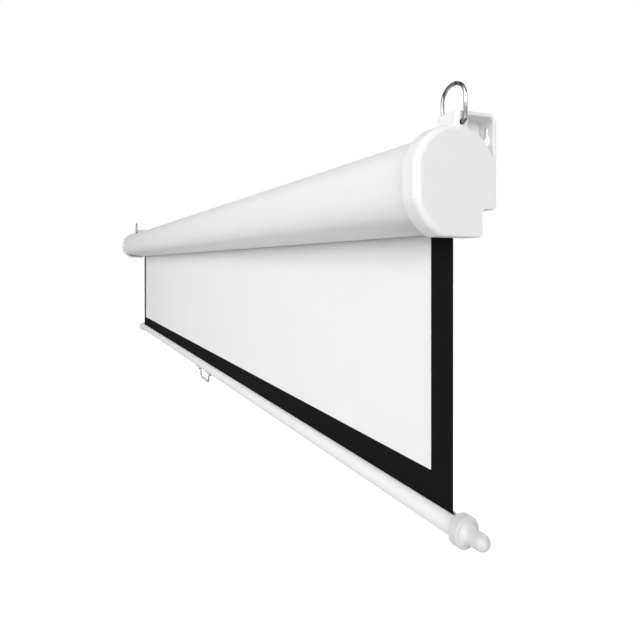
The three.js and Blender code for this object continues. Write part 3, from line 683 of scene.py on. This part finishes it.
def surface(name, settings):
    """A finish with fine grain, clouded colour and uneven gloss; on the chromed wire the clouded colour
    is painted reflection.
    """
    look = {"metallic": 0, "bump": 0.2, "gloss": 0.5, "patchy": 0.5, "stretch": 1, "depth": 0}
    look.update(surfaces[name])
    tree, shader = new_material(name)
    place = add(tree, "ShaderNodeTexCoord").outputs["Object"]
    turn = add(tree, "ShaderNodeMapping", {"Vector": place, "Scale": (1, 1, look["stretch"])})
    grain = effect(tree, "Grain and clouding", grain_group, {
        "Vector": turn.outputs["Vector"], "Grain": look["grain"], "Clouds": look["clouds"],
    })
    cloud, patchy = grain["Cloud"], look["patchy"]
    share = remapped(tree, cloud, 0, 1, start=0.5 - patchy, end=0.5 + patchy)
    rough, uneven = look["roughness"], 0.04
    feed(tree, shader, {
        "Metallic": look["metallic"],
        "Specular IOR Level": look["gloss"],
        "Subsurface Weight": look["depth"],
        "Base Color": tinted(tree, getattr(settings.finish, look["tone"]), look["shade"], share),
        "Roughness": remapped(tree, cloud, rough - uneven, rough + uneven),
        "Normal": embossed(tree, grain["Height"], look["bump"], distance=0.0001),
    })


def woven(name, settings):
    """Matt coated cloth whose weave shows through, with painted shade in the hollows between its threads.
    """
    look = {"roughness": 0.85, "gloss": 0.3, "shade": 0.94, "coordinates": "UV", **cloths[name]}
    tree, shader = new_material(name)
    place = add(tree, "ShaderNodeTexCoord").outputs
    threads = effect(tree, "Plain weave", weave_group, {
        "Vector": place[look["coordinates"]], "Pitch": settings.cloth.weave,
    })["Height"]
    grain = effect(tree, "Grain and clouding", grain_group, {
        "Vector": place["Object"], "Grain": 1200, "Clouds": 6,
    })
    # Half of the darkening follows the threads, as painted shade in the hollows of the weave, and half
    # the clouds, as uneven tone
    clouds = maths(tree, "MULTIPLY", grain["Cloud"], 0.5)
    share = maths(tree, "MULTIPLY_ADD", threads, 0.5, clouds)
    feed(tree, shader, {
        "Roughness": look["roughness"],
        "Specular IOR Level": look["gloss"],
        "Base Color": tinted(tree, getattr(settings.finish, look["tone"]), look["shade"], share),
        "Normal": embossed(tree, threads, strength=0.5, distance=0.00015),
    })


def finished(name):
    """The material of this name, made when it is first used."""
    if name not in bpy.data.materials:
        make = woven if name in cloths else surface
        make(name, bpy.context.scene.pull_screen)
    return bpy.data.materials[name]


# Sections of the cap and the case


def cap_silhouette(cap):
    """The cap from its end: underside, flange, top, ear and drum."""
    low = 180 + height_angle(cap.underside, cap.radius)
    corner = cap.radius * math.cos(math.radians(low))
    return filleted([
        (corner, -cap.underside, 0),
        (cap.rear_step, -cap.underside, 0.005),
        (cap.rear_step, -cap.flange_bottom, 0.004),
        (cap.wall, -cap.flange_bottom, 0.004),
        (cap.wall, cap.flange_top, cap.top_round),
        (-cap.ear_front, cap.ear_top, 0.003),
        (-cap.ear_front, math.sqrt(cap.radius**2 - cap.ear_front**2), 0),
    ]) + drum(cap.radius, cap.front, 90 + height_angle(cap.ear_front, cap.radius), low)[1:-1]


def pocket_outline(cap, spare=0):
    """The pocket behind the ear, between the ear, the drum and the flange."""
    radius = cap.radius - spare
    right = cap.wall - cap.flange_wall + spare
    left = cap.ear_rear - spare
    top = cap.flange_top - cap.flange_wall + spare
    slope = (cap.flange_top - cap.ear_top) / (cap.wall + cap.ear_front)
    foot = arc(radius, side_angle(left, radius), side_angle(right, radius))
    corners = filleted([
        (right, foot[-1].y, 0),
        (right, top, cap.top_round - cap.flange_wall),
        (left, top - slope * (right - left), 0.003),
        (left, foot[0].y, 0),
    ])
    return foot + corners[1:-1]


def rim_outline(cap):
    """The drum's front and top, and all that is behind them, for the round of the rim."""
    ear = cap.ear_front + cap.edge_round
    far, high = cap.wall + 2 * cap.rim_round, cap.flange_top + 2 * cap.rim_round
    start, low = 90 + height_angle(ear, cap.radius), 180 + side_angle(cap.rim_round, cap.radius)
    corners = points((far, -cap.radius), (far, high), (-ear, high))
    return corners + drum(cap.radius, cap.front, start, low)


def cavity_outline(cap):
    """The room in the cap for the case and the works."""
    inset = cap.skirt_wall
    radius, under = cap.radius - inset, cap.underside - inset
    rear, step = cap.wall - cap.flange_wall, cap.rear_step - inset
    low = 180 + height_angle(under, radius)
    return filleted([
        (radius * math.cos(math.radians(low)), -under, 0),
        (step, -under, 0.0005),
        (step, inset - cap.flange_bottom, 0.004),
        (rear, inset - cap.flange_bottom, 0),
    ]) + drum(radius, cap.front - inset, side_angle(rear, radius), low)[:-1]


def case_path(cap, case):
    """Middle of the sheet from the curled rear lip over the top to the curled front lip."""
    inset = cap.skirt_wall + gap + case.wall / 2
    radius, under = cap.radius - inset, cap.underside - inset
    rear = cap.wall - cap.flange_wall - gap - case.wall / 2
    crease = 180 + height_angle(case.crease, radius)
    curl = case.curl - case.wall / 2
    rear_curl = arc(curl, -250, 0, (rear - curl, -case.rear_lip), step=15)
    front_curl = arc(curl, -90, 160, (case.front_lip, curl - under), step=15)
    round_front = drum(radius, cap.front - inset, side_angle(rear, radius), crease, step=2)
    return rear_curl + eased([*round_front, front_curl[0]], case.ease) + front_curl[1:]


# Pieces


def placed(scene, name, data, location, direction):
    """A camera or a lamp at a place, looking in a direction."""
    thing = bpy.data.objects.new(name, data)
    thing.location = location
    thing.rotation_euler = Vector(direction).to_track_quat("-Z", "Y").to_euler()
    scene.collection.objects.link(thing)
    return thing


def add_lamp(scene, name, location, target, size, spread, power):
    """A square lamp that looks at a target, its spread in degrees and its power in watts."""
    light = bpy.data.lights.new(name, "AREA")
    light.size = size
    light.spread = math.radians(spread)
    light.energy = power
    placed(scene, name, light, location, Vector(target) - Vector(location))


def add_floor():
    """A pale floor that keeps the screen's shadow."""
    bm = bmesh.new()
    bmesh.ops.create_grid(bm, x_segments=1, y_segments=1, size=30)
    floor = new_piece("Floor", bm, (0, 0, floor_height))
    tree, shader = new_material("Pale floor")
    # Where it is seen, the floor glows by what the lamps leave short of white
    brightest, near_glow, far_glow, far = (0.8, -0.8, floor_height), 0.45, 0.82, 7
    place = add(tree, "ShaderNodeTexCoord").outputs["Object"]
    ends = {0: place, 1: brightest}
    away = add(tree, "ShaderNodeVectorMath", ends, operation="DISTANCE").outputs["Value"]
    glow = remapped(tree, away, near_glow, far_glow, end=far)
    feed(tree, shader, {
        "Base Color": (0.9, 0.9, 0.9, 1),
        "Roughness": 1,
        "Specular IOR Level": 0,
        "Emission Color": (1, 1, 1, 1),
        "Emission Strength": maths(tree, "MULTIPLY", seen(tree), glow),
    })
    floor.data.materials.append(bpy.data.materials["Pale floor"])


class SCREEN_OT_stage(bpy.types.Operator):
    """Set up the camera, the studio light and the floor"""

    bl_idname = "pull_screen.stage"
    bl_label = "Stage"

    def execute(self, context):
        scene = context.scene
        scene.view_settings.view_transform = "Standard"
        lens = bpy.data.cameras.new("View")
        lens.sensor_width = 36
        lens.lens = 26.72
        lens.shift_y = -0.0884
        lens.clip_start = 0.01
        eye, ahead = (1.06833, -0.32985, -0.11446), (-0.8663, 0.4995, 0)
        scene.camera = placed(scene, "View", lens, eye, ahead)
        scene.world = bpy.data.worlds.new("Studio")
        scene.world.use_nodes = True
        tree, dim = scene.world.node_tree, 0.35
        feed(tree, tree.nodes["Background"], {
            "Color": (1, 1, 1, 1), "Strength": remapped(tree, seen(tree), dim, 1),
        })
        add_lamp(scene, "Key", (1.2, -3.8, 1.2), (0.3, 0, -0.15), size=3, spread=70, power=24.3)
        add_lamp(scene, "Side", (3.2, -0.6, 0.4), (0.8, 0, -0.1), size=1.8, spread=80, power=9)
        add_lamp(scene, "Back", (-0.6, 3.4, 1.5), (0, 0, -0.15), size=2.6, spread=180, power=68)
        add_floor()
        return {"FINISHED"}


class SCREEN_OT_case(bpy.types.Operator):
    """Make the rolled steel case with its curled lips"""

    bl_idname = "pull_screen.case"
    bl_label = "Case"

    def execute(self, context):
        settings = context.scene.pull_screen
        case, path = settings.case, case_path(settings.cap, settings.case)
        tube = swept_sheet("case", path, case.length, case.wall, "Baked enamel", roller_axis)
        dress(tube, "Baked enamel", "case", "case_paint", "case_tube")
        return {"FINISHED"}


def behind_ear(cap):
    """All that is behind the ear's front or below its foot, for the round of the ear's edge."""
    far, foot = 2 * cap.wall, cap.radius + cap.edge_round
    front = -cap.ear_front
    return points((-far, -far), (far, -far), (far, far), (front, far), (front, foot), (-far, foot))


def flared(outline, start, end):
    """Rings of a cutting shape that widens at both ends, to round the edges of what it cuts."""
    rings = rounded_rings(outline, start, end, -over, -over, steps=4)
    wide = rings[0][1]
    return [(start - over, wide), *rings, (end + over, wide)]


def cap_holes(cap, ring, inner):
    """The ring's hole, the keyhole and the seats of the screws in the flange."""
    holes = [
        turned("hole", ring_hole(inner, cap.face), (0, ring.side, ring.height), sides=40),
        lofted("keyhole", keyhole_rings(cap), along="Y"),
    ]
    bore, head, sunk, deep = 0.002, 0.0037, 0.0022, 0.0083
    profile = [(-deep, 0), (-deep, bore), (-sunk, bore), (0, head), (over, head), (over, 0)]
    for side in (-1, 1):
        seat = turned("seat", profile, sides=32)
        seat.data.transform(Matrix.Rotation(math.pi / 2, 4, "Z"))
        at = (cap.face - cap.screw_inset, cap.wall, side * cap.screw_spread)
        seat.data.transform(Matrix.Translation(at))
        holes.append(seat)
    return holes


def ring_hole(start, end):
    """A bore that widens to a mouth at both ends."""
    bore, mouth = 0.0023, 0.0029
    side = [(-over, 0), (-over, mouth), (0, mouth), (0.0004, bore + 0.0001), (0.0009, bore)]
    return [(start + s, r) for s, r in side] + [(end - s, r) for s, r in reversed(side)]


def keyhole_rings(cap):
    """The keyhole through the flange, with a soft edge on the side that is seen."""
    slot, middle, soft = cap.keyhole_slot / 2, cap.face - cap.depth / 2, 0.0005
    neck = height_angle(slot, cap.keyhole_head)
    outline = arc(slot, 0, 180, (middle, cap.keyhole))
    outline += arc(cap.keyhole_head, 90 + neck, 450 - neck, (middle, cap.keyhole - cap.keyhole_travel))
    wide, front = shrunk(outline, -soft), cap.wall - cap.flange_wall
    return [(front - over, wide), (front, wide), (front + soft, outline), (cap.wall + over, outline)]


def cap_hood(cap, inner):
    """The ear's front wall where it runs on over the case."""
    front, rear = -cap.ear_front - over, cap.hood_wall - cap.ear_front
    wall = filleted([
        (front, cap.hood_bottom, 0), (rear, cap.hood_bottom, 0.0006),
        (rear, cap.flange_top, 0), (front, cap.flange_top, 0),
    ])
    reach, edge = cap.hood_reach, cap.edge_round
    hood = lofted("hood", rounded_rings(cap_silhouette(cap), inner - reach, inner + reach, edge, edge))
    wall = lofted("wall", [(inner - 2 * reach, wall), (inner + cap.web, wall)])
    return combine(hood, "INTERSECT", wall)


def cap_bosses(cap):
    """Round posts for the bracket plate's screws, each with its hole."""
    bore, outer, soft, long = 0.0018, 0.005, 0.0005, 0.0077
    start, end = cap.face - long, cap.face - cap.face_wall / 2
    profile = [(start, bore), (start, outer - soft), (start + soft, outer), (end, outer), (end, bore)]
    return [turned("boss", profile, (0, side * cap.boss_spread, 0), sides=32) for side in (-1, 1)]


class SCREEN_OT_end_caps(bpy.types.Operator):
    """Make the moulded cap of each end, with its ear, pocket, flange and keyhole"""

    bl_idname = "pull_screen.end_caps"
    bl_label = "End caps"

    def execute(self, context):
        settings = context.scene.pull_screen
        cap = settings.cap
        inner, edge, beyond = cap.face - cap.depth, cap.edge_round, 0.02
        inside, cavity = pocket_outline(cap, gap), cavity_outline(cap)
        shell = lofted("cap_right", rounded_rings(cap_silhouette(cap), inner, cap.face, edge, edge))
        rim = rounded_rings(rim_outline(cap), inner - beyond, cap.face, 0, cap.rim_round, steps=10)
        ear = rounded_rings(behind_ear(cap), inner - beyond, cap.face, 0, cap.ear_round, steps=8)
        combine(shell, "INTERSECT", lofted("rim", rim), lofted("ear", ear))
        combine(shell, "DIFFERENCE", lofted("pocket", flared(pocket_outline(cap), inner, cap.face)))
        combine(shell, "UNION", lofted("web", [(inner + gap, inside), (inner + cap.web, inside)]))
        hollow = lofted("hollow", [(inner - over, cavity), (cap.face - cap.face_wall, cavity)])
        combine(shell, "DIFFERENCE", hollow, *cap_holes(cap, settings.ring, inner))
        combine(shell, "UNION", cap_hood(cap, inner), *cap_bosses(cap))
        shell.data.transform(Matrix.Translation(roller_axis))
        smooth(shell)
        left = smooth(mirror_piece(shell, "cap_left"))
        dress(shell, "Cap moulding", "case", "cap_moulding", "end_cap_right")
        dress(left, "Cap moulding", "case", "cap_moulding", "end_cap_left")
        return {"FINISHED"}


class SCREEN_OT_rings(bpy.types.Operator):
    """Make the chromed hanging ring of each ear"""

    bl_idname = "pull_screen.rings"
    bl_label = "Hanging rings"

    def execute(self, context):
        settings = context.scene.pull_screen
        ring, joint = settings.ring, 0.0004
        half = ring.span / 2
        straight = half - ring.bend
        side = arc(ring.bend, -90, 0, (straight, ring.bend), step=8)
        side += arc(half, 0, 90, (0, ring.top - half - ring.height), step=4)
        right = points((joint, 0), (straight / 2, 0)) + side
        path = right + mirrored(right[:-1])
        middle = settings.cap.face - settings.cap.depth / 2
        for end, side in (("right", 1), ("left", -1)):
            at = roller_axis + Vector((side * middle, ring.side, ring.height))
            piece = smooth(wire(f"ring_{end}", path, ring.wire / 2, at))
            dress(piece, "Chromed wire", f"ring_{end}", "chromed_wire", f"hanging_ring_{end}")
        return {"FINISHED"}


def cross_screw():
    """A screw along X with its head at the origin and a cross recess in it."""
    long, core, shank, head = 0.008, 0.0008, 0.0017, 0.0033
    screw = turned("screw", [
        (-long, 0), (0.0005 - long, core), (0.0015 - long, shank), (-0.0019, shank),
        (-0.0001, head + 0.00005), (0, head), (0, 0),
    ], sides=32)
    deep, above, tilt = 0.0012, 0.0003, 0.4
    for turn in (0, math.pi / 2):
        blade = lofted("blade", [(-deep, rectangle(0.0005, 0.0002)), (above, rectangle(0.002, 0.0004))])
        blade.data.transform(Matrix.Rotation(turn + tilt, 4, "X"))
        combine(screw, "DIFFERENCE", blade)
    return screw


class SCREEN_OT_cap_screws(bpy.types.Operator):
    """Make the countersunk screws that hold the caps on the case"""

    bl_idname = "pull_screen.cap_screws"
    bl_label = "Cap screws"

    def execute(self, context):
        cap = context.scene.pull_screen.cap
        screw = cross_screw()
        bm = bmesh.new()
        out = cap.face - cap.screw_inset
        for end in (-1, 1):
            for side in (-1, 1):
                bm.verts.new((end * out, cap.wall - gap, side * cap.screw_spread))
        screws = new_piece("cap_screws", bm, roller_axis)
        facing = screws.data.attributes.new("facing", "FLOAT_VECTOR", "POINT")
        facing.data.foreach_set("vector", [0, 0, math.pi / 2] * len(screws.data.vertices))
        smooth(put_through(screws, screw_rows_tree(screw, finished("Zinc plating")), Size=1.0))
        bpy.data.objects.remove(screw)
        nodes = [f"cap_screw_{end}_{side}" for end in ("right", "left") for side in ("lower", "upper")]
        dress(screws, "Zinc plating", "case", "zinc_steel", *nodes)
        return {"FINISHED"}


def make_roll(cloth):
    """The cloth on the roller, as a spiral of sheet."""
    facets, air = 60, 0.00005
    sheet = cloth.pitch - air
    first, last = cloth.core_radius + gap + sheet / 2, cloth.roll_radius - sheet / 2
    turns = int((last - first) / cloth.pitch)
    path = []
    for i in range(turns * facets, -1, -1):
        angle = 2 * math.pi * i / facets
        radius = last - cloth.pitch * i / facets
        path.append(Vector((radius * math.cos(angle), radius * math.sin(angle))))
    roll = swept_sheet("cloth_roll", path, cloth.width, sheet, "Wound cloth", roller_axis)
    dress(roll, "Wound cloth", "roller", "white_cloth", "fabric_roll")


def make_coil(spring):
    """The spring in the roller, from end to end of the CAD spring."""
    steel = "Oiled spring steel"
    low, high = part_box("torsion_spring")
    bm = bmesh.new()
    bm.verts.new((0, 0, 0))
    coil = put_through(
        new_piece("spring_coil", bm), coil_tree(finished(steel)), Turns=float(spring.turns),
        Radius=spring.radius, Wire=spring.wire / 2, Length=high.x - low.x - 2 * spring.wire,
    )
    coil.data.transform(Matrix.Translation(roller_axis + Vector((low.x + spring.wire, 0, 0))))
    dress(smooth(coil), steel, "case", "spring_steel", "torsion_spring")


class SCREEN_OT_roll(bpy.types.Operator):
    """Make the wound cloth and the spring inside the roller"""

    bl_idname = "pull_screen.roll"
    bl_label = "Roll and spring"

    def execute(self, context):
        settings = context.scene.pull_screen
        make_roll(settings.cloth)
        make_coil(settings.spring)
        return {"FINISHED"}


# Rows and columns of faces in the cloth's border, and in all between its borders
border_rows, border_columns = 4, 2
white_rows, white_columns = 90, 48


def cloth_grid(bm, rows, columns, off):
    """Vertices of one face of the cloth, off the middle of the sheet."""
    grid = []
    for i, point in enumerate(rows):
        ahead = rows[min(i + 1, len(rows) - 1)] - rows[max(i - 1, 0)]
        out = Vector((-ahead.y, ahead.x)).normalized() * off
        grid.append([bm.verts.new((x, point.x + out.x, point.y + out.y)) for x in columns])
    return grid


def cloth_faces(bm, rear, front, columns, runs):
    """Both faces of the cloth, laid flat in its UVs, and its black edges."""
    white, black, backing = range(3)
    flat = bm.loops.layers.uv.new("Cloth")
    down, across = len(rear) - 1, len(columns) - 1
    for i in range(down):
        for j in range(across):
            side = j < border_columns or j >= across - border_columns
            border = side or i >= down - border_rows
            places = ((i, j), (i + 1, j), (i + 1, j + 1), (i, j + 1))
            for grid, index in ((rear, backing), (front, black if border else white)):
                face = bm.faces.new([grid[a][b] for a, b in places])
                face.material_index = index
                for loop, (a, b) in zip(face.loops, places):
                    loop[flat].uv = (columns[b], -runs[a])
    edges = [((i, j), (i + 1, j)) for i in range(down) for j in (0, across)]
    edges += [((i, j), (i, j + 1)) for j in range(across) for i in (0, down)]
    for (a, b), (c, d) in edges:
        bm.faces.new((rear[a][b], rear[c][d], front[c][d], front[a][b])).material_index = black


class SCREEN_OT_cloth(bpy.types.Operator):
    """Make the hanging cloth with its printed border and dark back"""

    bl_idname = "pull_screen.cloth"
    bl_label = "Cloth"

    def execute(self, context):
        settings = context.scene.pull_screen
        cloth, bar = settings.cloth, settings.bar
        top = roller_axis.z
        border_top = bar_axis.z + bar.radius + gap + cloth.bottom_border
        bottom = bar_axis.z + bar.radius - bar.tuck
        half = cloth.width / 2
        inner = half - cloth.side_border
        columns = spaced(-half, -inner, border_columns) + spaced(-inner, inner, white_columns)[1:]
        columns += spaced(inner, half, border_columns)[1:]
        # Down the cloth: round the roll, then straight down to the bar
        hair = 0.0001
        hang = cloth_high.y - roller_axis.y - cloth.sheet / 2 - hair
        rows = [roller_axis.yz + p for p in arc(hang, 70, 0, step=7)]
        heights = spaced(top, border_top, white_rows)[1:]
        heights += spaced(border_top, bottom, border_rows)[1:]
        rows += [Vector((roller_axis.y + hang, z)) for z in heights]
        runs = run_lengths(rows)
        bm = bmesh.new()
        rear, front = (cloth_grid(bm, rows, columns, out * cloth.sheet / 2) for out in (1, -1))
        cloth_faces(bm, rear, front, columns, runs)
        sheet = new_piece("cloth", bm)
        sheet.data.polygons.foreach_set("use_smooth", [True] * len(sheet.data.polygons))
        sheet.data.set_sharp_from_angle(angle=math.radians(40))
        for name in ("White cloth", "Black border", "Cloth backing"):
            sheet.data.materials.append(finished(name))
        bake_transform(sheet)
        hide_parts("screen_fabric", "black_border")
        return {"FINISHED"}


def plug_profile(bar, cloth):
    """From the spigot in the tube over the collar and its hollow face to the round tip."""
    start, inside, lead = cloth.width / 2 + gap, bar.radius - bar.wall - gap, 0.0005
    seat = bar.length / 2 + gap
    shoulder = seat + bar.collar_length
    dome = shoulder + bar.cove_length + bar.tip_length - bar.tip_radius
    soft = 0.0014
    flat = bar.collar_radius - soft
    near = arc(soft, 180, 90, (seat + soft, flat), step=10)
    far = arc(soft, 90, 0, (shoulder - soft, flat), step=10)
    deep = bar.cove_radius - bar.tip_radius
    cove = [
        (shoulder + bar.cove_length * (1 - p.x), bar.tip_radius + deep * (1 - p.y))
        for p in arc(1, 0, 90, step=7.5)
    ]
    tip = arc(bar.tip_radius, 90, 0, (dome, 0), step=6)[:-1]
    spigot = [(start, 0), (start, inside - lead), (start + lead, inside), (seat, inside)]
    return [*spigot, *near, *far, *cove, *tip, (dome + bar.tip_radius, 0)]


class SCREEN_OT_bar(bpy.types.Operator):
    """Make the slotted bottom bar, the hem in it and its plugs"""

    bl_idname = "pull_screen.bar"
    bl_label = "Bottom bar"

    def execute(self, context):
        settings = context.scene.pull_screen
        bar, cloth = settings.bar, settings.cloth
        middle = bar.radius - bar.wall / 2
        opening = height_angle((bar.slot + bar.wall) / 2, middle)
        path = arc(middle, 90 + opening, 450 - opening)
        tube = swept_sheet("bar_tube", path, bar.length, bar.wall, "Baked enamel", bar_axis)
        dress(tube, "Baked enamel", "bar", "case_paint", "bottom_bar")

        round_hem = 0.0036
        height = bar.radius - bar.wall - 3 * gap - round_hem
        loop = points((0, bar.radius - bar.tuck - gap)) + arc(round_hem, 90, 440, (0, height), step=10)
        hem = swept_sheet("hem", loop, cloth.width, cloth.sheet, "Wound cloth", bar_axis)
        dress(hem, "Wound cloth", "bar", "white_cloth", "hem_sleeve")

        right = turned("plug_right", plug_profile(bar, cloth), bar_axis)
        left = mirror_piece(right, "plug_left")
        for end, piece in (("right", right), ("left", left)):
            dress(smooth(piece, angle=40), "Plug moulding", "bar", "bar_moulding", f"bar_end_{end}")
        return {"FINISHED"}


def grip_profile(handle):
    """Section of the sleeve on the handle, its ends rounded."""
    half, bore, soft, lead = handle.grip_length / 2, (handle.wire + gap) / 2, 0.0009, 0.0002
    flat = handle.grip_radius - soft
    right = points((half - lead, bore), (half, bore + lead))
    right += arc(soft, 0, 90, (half - soft, flat), step=15)
    return [(0, bore), *right, *mirrored(right)]


def handle_clip(handle, bar, middle):
    """A saddle under the bar and a lug down from it, with the hole that the handle swings in."""
    seat, side, below = bar.radius + gap, handle.lug_radius, handle.drop
    start, end = -152, -28
    saddle = arc(seat + handle.clip_wall, start, end) + arc(seat, end, start)
    neck = -seat - handle.clip_wall / 2
    lug = points((-side, neck)) + arc(side, 180, 360, (0, -below), step=6) + points((side, neck))
    clip = soft_block("clip", saddle, middle, handle.clip_width)
    combine(clip, "UNION", soft_block("lug", lug, middle, handle.lug_width))
    bore, reach = handle.wire / 2 + gap, 0.004
    hole = [(-reach, 0), (-reach, bore), (reach, bore), (reach, 0)]
    combine(clip, "DIFFERENCE", turned("hole", hole, (middle, 0, -below), sides=32))
    clip.data.transform(Matrix.Translation(bar_axis))
    return smooth(clip)


def soft_block(name, outline, middle, width):
    """A prism along the bar with soft edges."""
    start, end, soft = middle - width / 2, middle + width / 2, 0.0004
    return lofted(name, rounded_rings(outline, start, end, soft, soft, steps=4))


class SCREEN_OT_handle(bpy.types.Operator):
    """Make the wire pull handle and the clips that it swings in"""

    bl_idname = "pull_screen.handle"
    bl_label = "Pull handle"

    def execute(self, context):
        settings = context.scene.pull_screen
        handle = settings.handle
        half, pin = handle.span / 2, 0.0045
        bend = half - handle.lug_width / 2 - gap - handle.bend
        corner = bend - 2 * handle.bend
        right = points((half + pin, 0), (half, 0))
        right += arc(handle.bend, 90, 180, (bend, -handle.bend), step=9)
        right += arc(handle.bend, 0, -90, (corner, handle.bend - handle.leg), step=9)
        at = bar_axis - Vector((0, 0, handle.drop))
        bail = smooth(wire("handle_wire", right + mirrored(right), handle.wire / 2, at))
        dress(bail, "Zinc plating", "handle", "handle_wire", "pull_handle")
        grip = turned("grip", grip_profile(handle), at - Vector((0, 0, handle.leg)), sides=40)
        dress(smooth(grip), "Plug moulding", "handle", "bar_moulding", "handle_grip")
        for end, side in (("right", 1), ("left", -1)):
            clip = handle_clip(handle, settings.bar, side * half)
            dress(clip, "Plug moulding", "bar", "bar_moulding", f"handle_clip_{end}")
        return {"FINISHED"}


class SCREEN_OT_works(bpy.types.Operator):
    """Give the roller, its bearings, the ratchet and the plates their finishes"""

    bl_idname = "pull_screen.works"
    bl_label = "Roller and works"

    def execute(self, context):
        steel = ["spring_spindle", "ratchet_wheel", "idle_pin", "roller_tube"]
        for end in ("right", "left"):
            steel += [f"bracket_plate_{end}", f"bracket_screw_{end}_front", f"bracket_screw_{end}_rear"]
        for side in ("upper", "lower"):
            steel += [f"pawl_{side}", f"pawl_pin_{side}"]
        plastic = ["spindle_anchor", "roller_plug_right", "roller_plug_left", "idle_bush", "hem_rod"]
        for names, look in ((steel, "Zinc plating"), (plastic, "Natural nylon")):
            for name in names:
                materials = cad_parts[name].data.materials
                materials.clear()
                materials.append(finished(look))
        return {"FINISHED"}


class SCREEN_PT_pieces(bpy.types.Panel):
    """Buttons for the screen's pieces"""

    bl_label = "Projection screen"
    bl_space_type = "VIEW_3D"
    bl_region_type = "UI"
    bl_category = "Screen"

    def draw(self, context):
        for operator in makers:
            self.layout.operator(operator.bl_idname)


makers = (
    SCREEN_OT_stage, SCREEN_OT_case, SCREEN_OT_end_caps, SCREEN_OT_rings, SCREEN_OT_cap_screws,
    SCREEN_OT_roll, SCREEN_OT_cloth, SCREEN_OT_bar, SCREEN_OT_handle, SCREEN_OT_works,
)
classes = (
    ScreenCapSizes, ScreenCaseSizes, ScreenRingSizes, ScreenClothSizes, ScreenBarSizes, ScreenHandleSizes,
    ScreenSpringSizes, ScreenFinishes, PullScreenSettings, *makers, SCREEN_PT_pieces,
)


def register():
    for cls in classes:
        bpy.utils.register_class(cls)
    bpy.types.Scene.pull_screen = PointerProperty(type=PullScreenSettings)


def unregister():
    del bpy.types.Scene.pull_screen
    for cls in reversed(classes):
        bpy.utils.unregister_class(cls)


def main():
    register()
    bpy.ops.pull_screen.stage()
    bpy.ops.pull_screen.case()
    bpy.ops.pull_screen.end_caps()
    bpy.ops.pull_screen.rings()
    bpy.ops.pull_screen.cap_screws()
    bpy.ops.pull_screen.roll()
    bpy.ops.pull_screen.cloth()
    bpy.ops.pull_screen.bar()
    bpy.ops.pull_screen.handle()
    bpy.ops.pull_screen.works()


if __name__ == "__main__":
    main()
